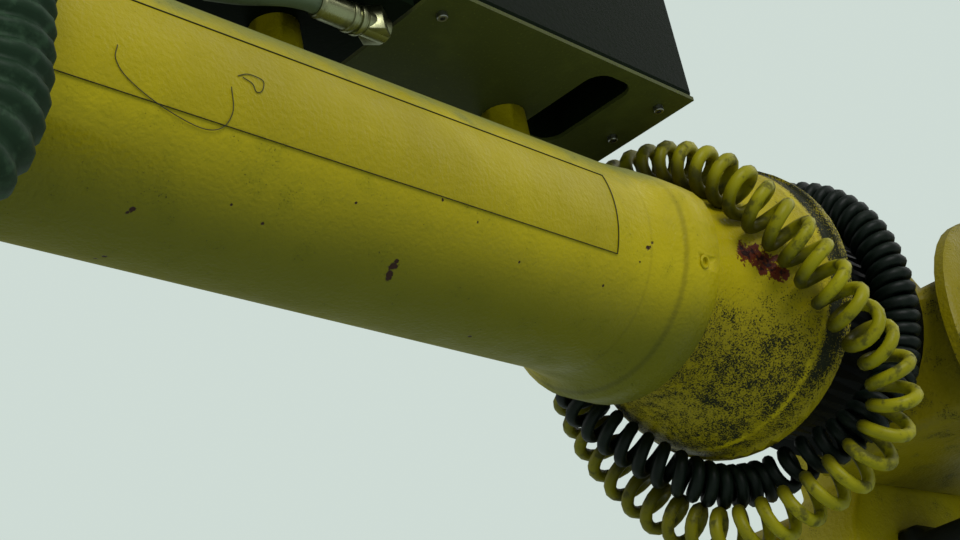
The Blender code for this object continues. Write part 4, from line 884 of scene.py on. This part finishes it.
class ROBOT_OT_paint(bpy.types.Operator):
    """Give every model part its finish"""

    bl_idname = "robot.paint"
    bl_label = "Paint and steel"

    def execute(self, context):
        finishes, own = make_finishes(context)
        for name, node in frame["nodes"].items():
            finish = own.get(name) or finishes.get(SLOTS[name])
            if finish:
                node.data.materials.clear()
                node.data.materials.append(finish)
        return {"FINISHED"}


class ROBOT_OT_smooth_parts(bpy.types.Operator):
    """Replace round model parts with smooth-shaded copies of themselves"""

    bl_idname = "robot.smooth_parts"
    bl_label = "Smooth round parts"

    def execute(self, context):
        finishes, own = make_finishes(context)
        for name in SMOOTH_PARTS:
            finish = own.get(name) or finishes[SLOTS[name]]
            link_piece(name + "_smooth", smooth_copy(name), finish, [name], BODIES[name])
        return {"FINISHED"}


class ROBOT_OT_curly_cords(bpy.types.Operator):
    """Wind the yellow and the black curly cord along their routes"""

    bl_idname = "robot.curly_cords"
    bl_label = "Curly cords"

    def execute(self, context):
        colours = context.scene.robot_colours
        sizes = context.scene.robot_sizes
        yellow = cord_jacket(
            colours.yellow_jacket, "yellow_cord_jacket", 0.42, YELLOW_CORD_DIRT, 0.70, True
        )
        black = cord_jacket(colours.black_jacket, "black_cord_jacket", 0.46, BLACK_CORD_DIRT, 0.5)
        for name, route, coil, thick, pitches, spreads, finish, slot in (
            ("yellow_coil", YELLOW_ROUTE, sizes.yellow_coil_radius, sizes.yellow_cord_radius, YELLOW_PITCH,
             YELLOW_SPREAD, yellow, "yellow_cord"),
            ("black_coil", BLACK_ROUTE, sizes.black_coil_radius, sizes.black_cord_radius, BLACK_PITCH,
             BLACK_SPREAD, black, "black_cord"),
        ):
            points = coil_points(Path(route), coil - thick, pitches, spreads)
            node = name.replace("coil", "curly_cord")
            link_piece(name, tube_curve(name, points, thick), finish, [node])
        return {"FINISHED"}


class ROBOT_OT_wrist_hose(bpy.types.Operator):
    """Run the ribbed hose from the bracket to the wrist"""

    bl_idname = "robot.wrist_hose"
    bl_label = "Wrist hose"

    def execute(self, context):
        colours = context.scene.robot_colours
        sizes = context.scene.robot_sizes
        path = Path(HOSE_ROUTE)
        steps = round(path.length / sizes.hose_rib_pitch) * STEPS_PER_RIB
        valley = sizes.hose_rib_depth / sizes.hose_radius
        points, swells = [], []
        for step in range(steps + 1):
            points.append(path.at(path.length * step / steps)[0])
            swells.append(1 - valley * abs(math.cos(math.pi * step / STEPS_PER_RIB)) ** RIB_SHARPNESS)
        hose = tube_curve("ribbed_hose", points, sizes.hose_radius, 6, swells)
        finish = cord_jacket(colours.hose, "hose_rubber", 0.55, HOSE_DUST, 0.6)
        link_piece("ribbed_hose", hose, finish, ["wrist_hose"])
        return {"FINISHED"}


class ROBOT_OT_label_film(bpy.types.Operator):
    """Lay the blank label film, its edge line and a stray thread on the forearm tube"""

    bl_idname = "robot.label_film"
    bl_label = "Label film"

    def execute(self, context):
        colours = context.scene.robot_colours
        sizes = context.scene.robot_sizes
        bm = bmesh.new()
        ends = [
            bm.verts.new(forearm_place(along, FILM_LOW_ANGLE, TUBE_RADIUS + FILM_LIFT))
            for along in (FILM_START, FILM_END)
        ]
        edge = bm.edges.new(ends)
        span = math.radians(FILM_HIGH_ANGLE) - math.radians(FILM_LOW_ANGLE)
        bmesh.ops.spin(bm, geom=[*ends, edge], cent=RIM, axis=(1, 0, 0), angle=span, steps=36)
        bmesh.ops.recalc_face_normals(bm, faces=bm.faces)
        bmesh.ops.solidify(bm, geom=bm.faces[:], thickness=sizes.film_thickness)
        film = yellow_paint(colours, "film_over_yellow", 0.10, film=0.25, tone=0.86)
        link_piece("label_film", bm, film)

        radius = TUBE_RADIUS + FILM_EDGE_LIFT
        rise = FILM_HIGH_ANGLE - FILM_LOW_ANGLE
        turns = [FILM_LOW_ANGLE + rise * step / FILM_STEPS for step in range(FILM_STEPS + 1)]
        outline = [forearm_place(FILM_END, turn, radius) for turn in reversed(turns)]
        outline += [forearm_place(FILM_START, turn, radius) for turn in turns]
        outline.append(outline[0])
        line = tube_curve("film_edge_line", outline, FILM_EDGE_RADIUS, 1)
        link_piece("film_edge_line", line, black_paint(colours.grime, "film_edge_dirt"))

        thread = cord_jacket(THREAD, "loose_thread", 0.6, THREAD_DIRT, 0.4)
        for name, places in (("loose_thread", THREAD_PLACES), ("loose_thread_end", THREAD_LOOP)):
            loose = [forearm_place(along, angle, TUBE_RADIUS + THREAD_LIFT) - RIM for along, angle in places]
            strand = tube_curve(name, smooth_route(loose, 8), THREAD_RADIUS, 1)
            link_piece(name, strand, thread)
        return {"FINISHED"}


class ROBOT_OT_air_fitting(bpy.types.Operator):
    """Build the brass elbow fitting under the bracket and its short pipe"""

    bl_idname = "robot.air_fitting"
    bl_label = "Air fitting"

    def execute(self, context):
        brass = steel_finish(context.scene.robot_colours.brass, "brass_worn")
        corner = RIM + Vector(FITTING_CORNER)
        bm = bmesh.new()
        leg = bmesh.ops.create_cone(
            bm, cap_ends=True, cap_tris=False, segments=6, radius1=LEG_RADIUS, radius2=LEG_RADIUS,
            depth=LEG_LENGTH,
        )["verts"]
        bmesh.ops.translate(bm, verts=leg, vec=corner + Vector((0, 0, LEG_LIFT)))
        bevel_edges(bm, bm.edges[:], LEG_BEVEL)
        link_piece("fitting_leg", bm, brass, ["fitting_nut"])

        barrel = turned(BARREL_OUTLINE, corner, (1, 0, 0))
        link_piece("fitting_barrel", barrel, brass, ["pipe_fitting"])

        run = [corner - RIM + Vector(place) for place in AIR_PIPE_ROUTE]
        pipe = tube_curve("air_pipe_run", smooth_route(run, 10), AIR_PIPE_RADIUS, 5)
        finish = cord_jacket(AIR_PIPE, "air_pipe_jacket", 0.5, AIR_PIPE_DIRT, 0.5)
        link_piece("air_pipe_run", pipe, finish, ["air_pipe"])
        return {"FINISHED"}


class ROBOT_OT_grease_plug(bpy.types.Operator):
    """Set the small plug in the ring of the forearm tube"""

    bl_idname = "robot.grease_plug"
    bl_label = "Grease plug"

    def execute(self, context):
        along, angle, radius = GREASE_PLUG
        out = forearm_place(0.0, angle, 1.0) - RIM
        plug = turned(PLUG_OUTLINE, forearm_place(along, angle, radius), out, 24)
        finish = yellow_paint(context.scene.robot_colours, "yellow_paint_plug", 0.30)
        link_piece("grease_plug", plug, finish)
        return {"FINISHED"}


class ROBOT_OT_cord_anchor(bpy.types.Operator):
    """Build the block that holds both cords behind the neck"""

    bl_idname = "robot.cord_anchor"
    bl_label = "Cord anchor"

    def execute(self, context):
        block = rounded_box(RIM + Vector(ANCHOR_LOW), RIM + Vector(ANCHOR_HIGH), ANCHOR_BEVEL)
        finish = black_paint(context.scene.robot_colours.machine_black, "anchor_paint")
        link_piece("anchor_block", block, finish, ["cord_anchor"])
        return {"FINISHED"}


class ROBOT_OT_fasteners(bpy.types.Operator):
    """Set the screws on covers, plates, boxes and motors"""

    bl_idname = "robot.fasteners"
    bl_label = "Fasteners"

    def execute(self, context):
        steel = context.scene.robot_colours.steel
        dark = steel_finish(scaled(steel, 0.30), "screw_steel_dark")
        bright = steel_finish(scaled(steel, 0.85), "screw_steel_bright")
        for name, axis, share, count, radius in RINGS_OF_SCREWS:
            low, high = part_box(name)
            axis = Vector(axis)
            half = (high - low) / 2
            face = (low + high) / 2 + Vector([part * way for part, way in zip(half, axis)])
            spread = max(part for part, way in zip(half, axis) if not way)
            bm = bmesh.new()
            centre = face - axis * thinned_by(name)
            ring_of_screws(bm, centre, axis, spread * share, count, radius)
            link_piece(name + "_screws", bm, dark, body=BODIES[name])
        for name, axis, places, radius in SETS_OF_SCREWS:
            low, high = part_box(name)
            bm = bmesh.new()
            for place in places:
                spot = Vector([a + (b - a) * share for a, b, share in zip(low, high, place)])
                add_socket_screw(bm, spot - Vector(axis) * thinned_by(name), axis, radius)
            finish = bright if name == "box_bottom_plate" else dark
            link_piece(name + "_screws", bm, finish, body=BODIES[name])
        return {"FINISHED"}


class ROBOT_OT_stage(bpy.types.Operator):
    """Set the floor, the light and the camera"""

    bl_idname = "robot.stage"
    bl_label = "Floor, light and camera"

    def execute(self, context):
        scene = context.scene
        backdrop = scene.robot_colours.backdrop
        scene.view_settings.view_transform = "Standard"

        world = bpy.data.worlds.new("studio")
        world.use_nodes = True
        scene.world = world
        tree = world.node_tree
        path = add_node(tree, "LightPath")
        seen = largest(tree, path.outputs["Is Camera Ray"], path.outputs["Is Transmission Ray"])
        light = blend(tree, seen, SKY_LIGHT, backdrop)
        tree.links.new(light, tree.nodes["Background"].inputs["Color"])

        bm = bmesh.new()
        bmesh.ops.create_grid(bm, x_segments=1, y_segments=1, size=FLOOR_SIZE)
        bmesh.ops.translate(bm, verts=bm.verts, vec=(0, 0, CAD_BOX[0].z - FLOOR_DROP))
        floor = bpy.data.objects.new("floor", mesh_from(bm, "floor"))
        scene.collection.objects.link(floor)
        material, tree, shader, point = start_material("floor_pale", 0.85)
        speck = noise(tree, point, 3.0, 3.0)
        pale = blend(tree, speck, scaled(backdrop, 0.96), backdrop)
        tree.links.new(pale, shader.inputs["Base Color"])
        floor.data.materials.append(material)

        for name, place, power, spread in LAMPS:
            lamp = bpy.data.lights.new(name, "SUN")
            lamp.energy = power
            lamp.angle = math.radians(spread)
            holder = bpy.data.objects.new(name, lamp)
            scene.collection.objects.link(holder)
            holder.location = place
            holder.rotation_mode = "QUATERNION"
            holder.rotation_quaternion = (LAMP_TARGET - Vector(place)).to_track_quat("-Z", "Y")

        camera = bpy.data.cameras.new("camera")
        camera.lens = scene.robot_sizes.camera_lens
        camera.sensor_width = 36.0
        camera.clip_start = 0.05
        view = bpy.data.objects.new("camera", camera)
        scene.collection.objects.link(view)
        up = CAMERA_RIGHT.cross(CAMERA_FORWARD)
        turn = Matrix((CAMERA_RIGHT, up, -CAMERA_FORWARD)).transposed().to_4x4()
        view.matrix_world = Matrix.Translation(CAMERA_PLACE) @ turn
        scene.camera = view
        return {"FINISHED"}


class ROBOT_PT_panel(bpy.types.Panel):
    bl_label = "Robot Arm"
    bl_idname = "ROBOT_PT_panel"
    bl_space_type = "VIEW_3D"
    bl_region_type = "UI"
    bl_category = "Robot Arm"

    def draw(self, context):
        layout = self.layout
        for settings in (context.scene.robot_colours, context.scene.robot_sizes):
            for name in settings.__annotations__:
                layout.prop(settings, name)
        for operator in OPERATORS:
            layout.operator(operator.bl_idname)


OPERATORS = (
    ROBOT_OT_paint, ROBOT_OT_smooth_parts, ROBOT_OT_curly_cords, ROBOT_OT_wrist_hose, ROBOT_OT_label_film,
    ROBOT_OT_air_fitting, ROBOT_OT_grease_plug, ROBOT_OT_cord_anchor, ROBOT_OT_fasteners, ROBOT_OT_stage,
)
CLASSES = (RobotColours, RobotSizes, *OPERATORS, ROBOT_PT_panel)


def register():
    for made in CLASSES:
        bpy.utils.register_class(made)
    bpy.types.Scene.robot_colours = bpy.props.PointerProperty(type=RobotColours)
    bpy.types.Scene.robot_sizes = bpy.props.PointerProperty(type=RobotSizes)


def unregister():
    del bpy.types.Scene.robot_colours
    del bpy.types.Scene.robot_sizes
    for made in reversed(CLASSES):
        bpy.utils.unregister_class(made)


def main():
    register()
    bpy.ops.robot.stage()
    bpy.ops.robot.paint()
    bpy.ops.robot.smooth_parts()
    bpy.ops.robot.curly_cords()
    bpy.ops.robot.wrist_hose()
    bpy.ops.robot.label_film()
    bpy.ops.robot.air_fitting()
    bpy.ops.robot.grease_plug()
    bpy.ops.robot.cord_anchor()
    bpy.ops.robot.fasteners()


if __name__ == "__main__":
    main()
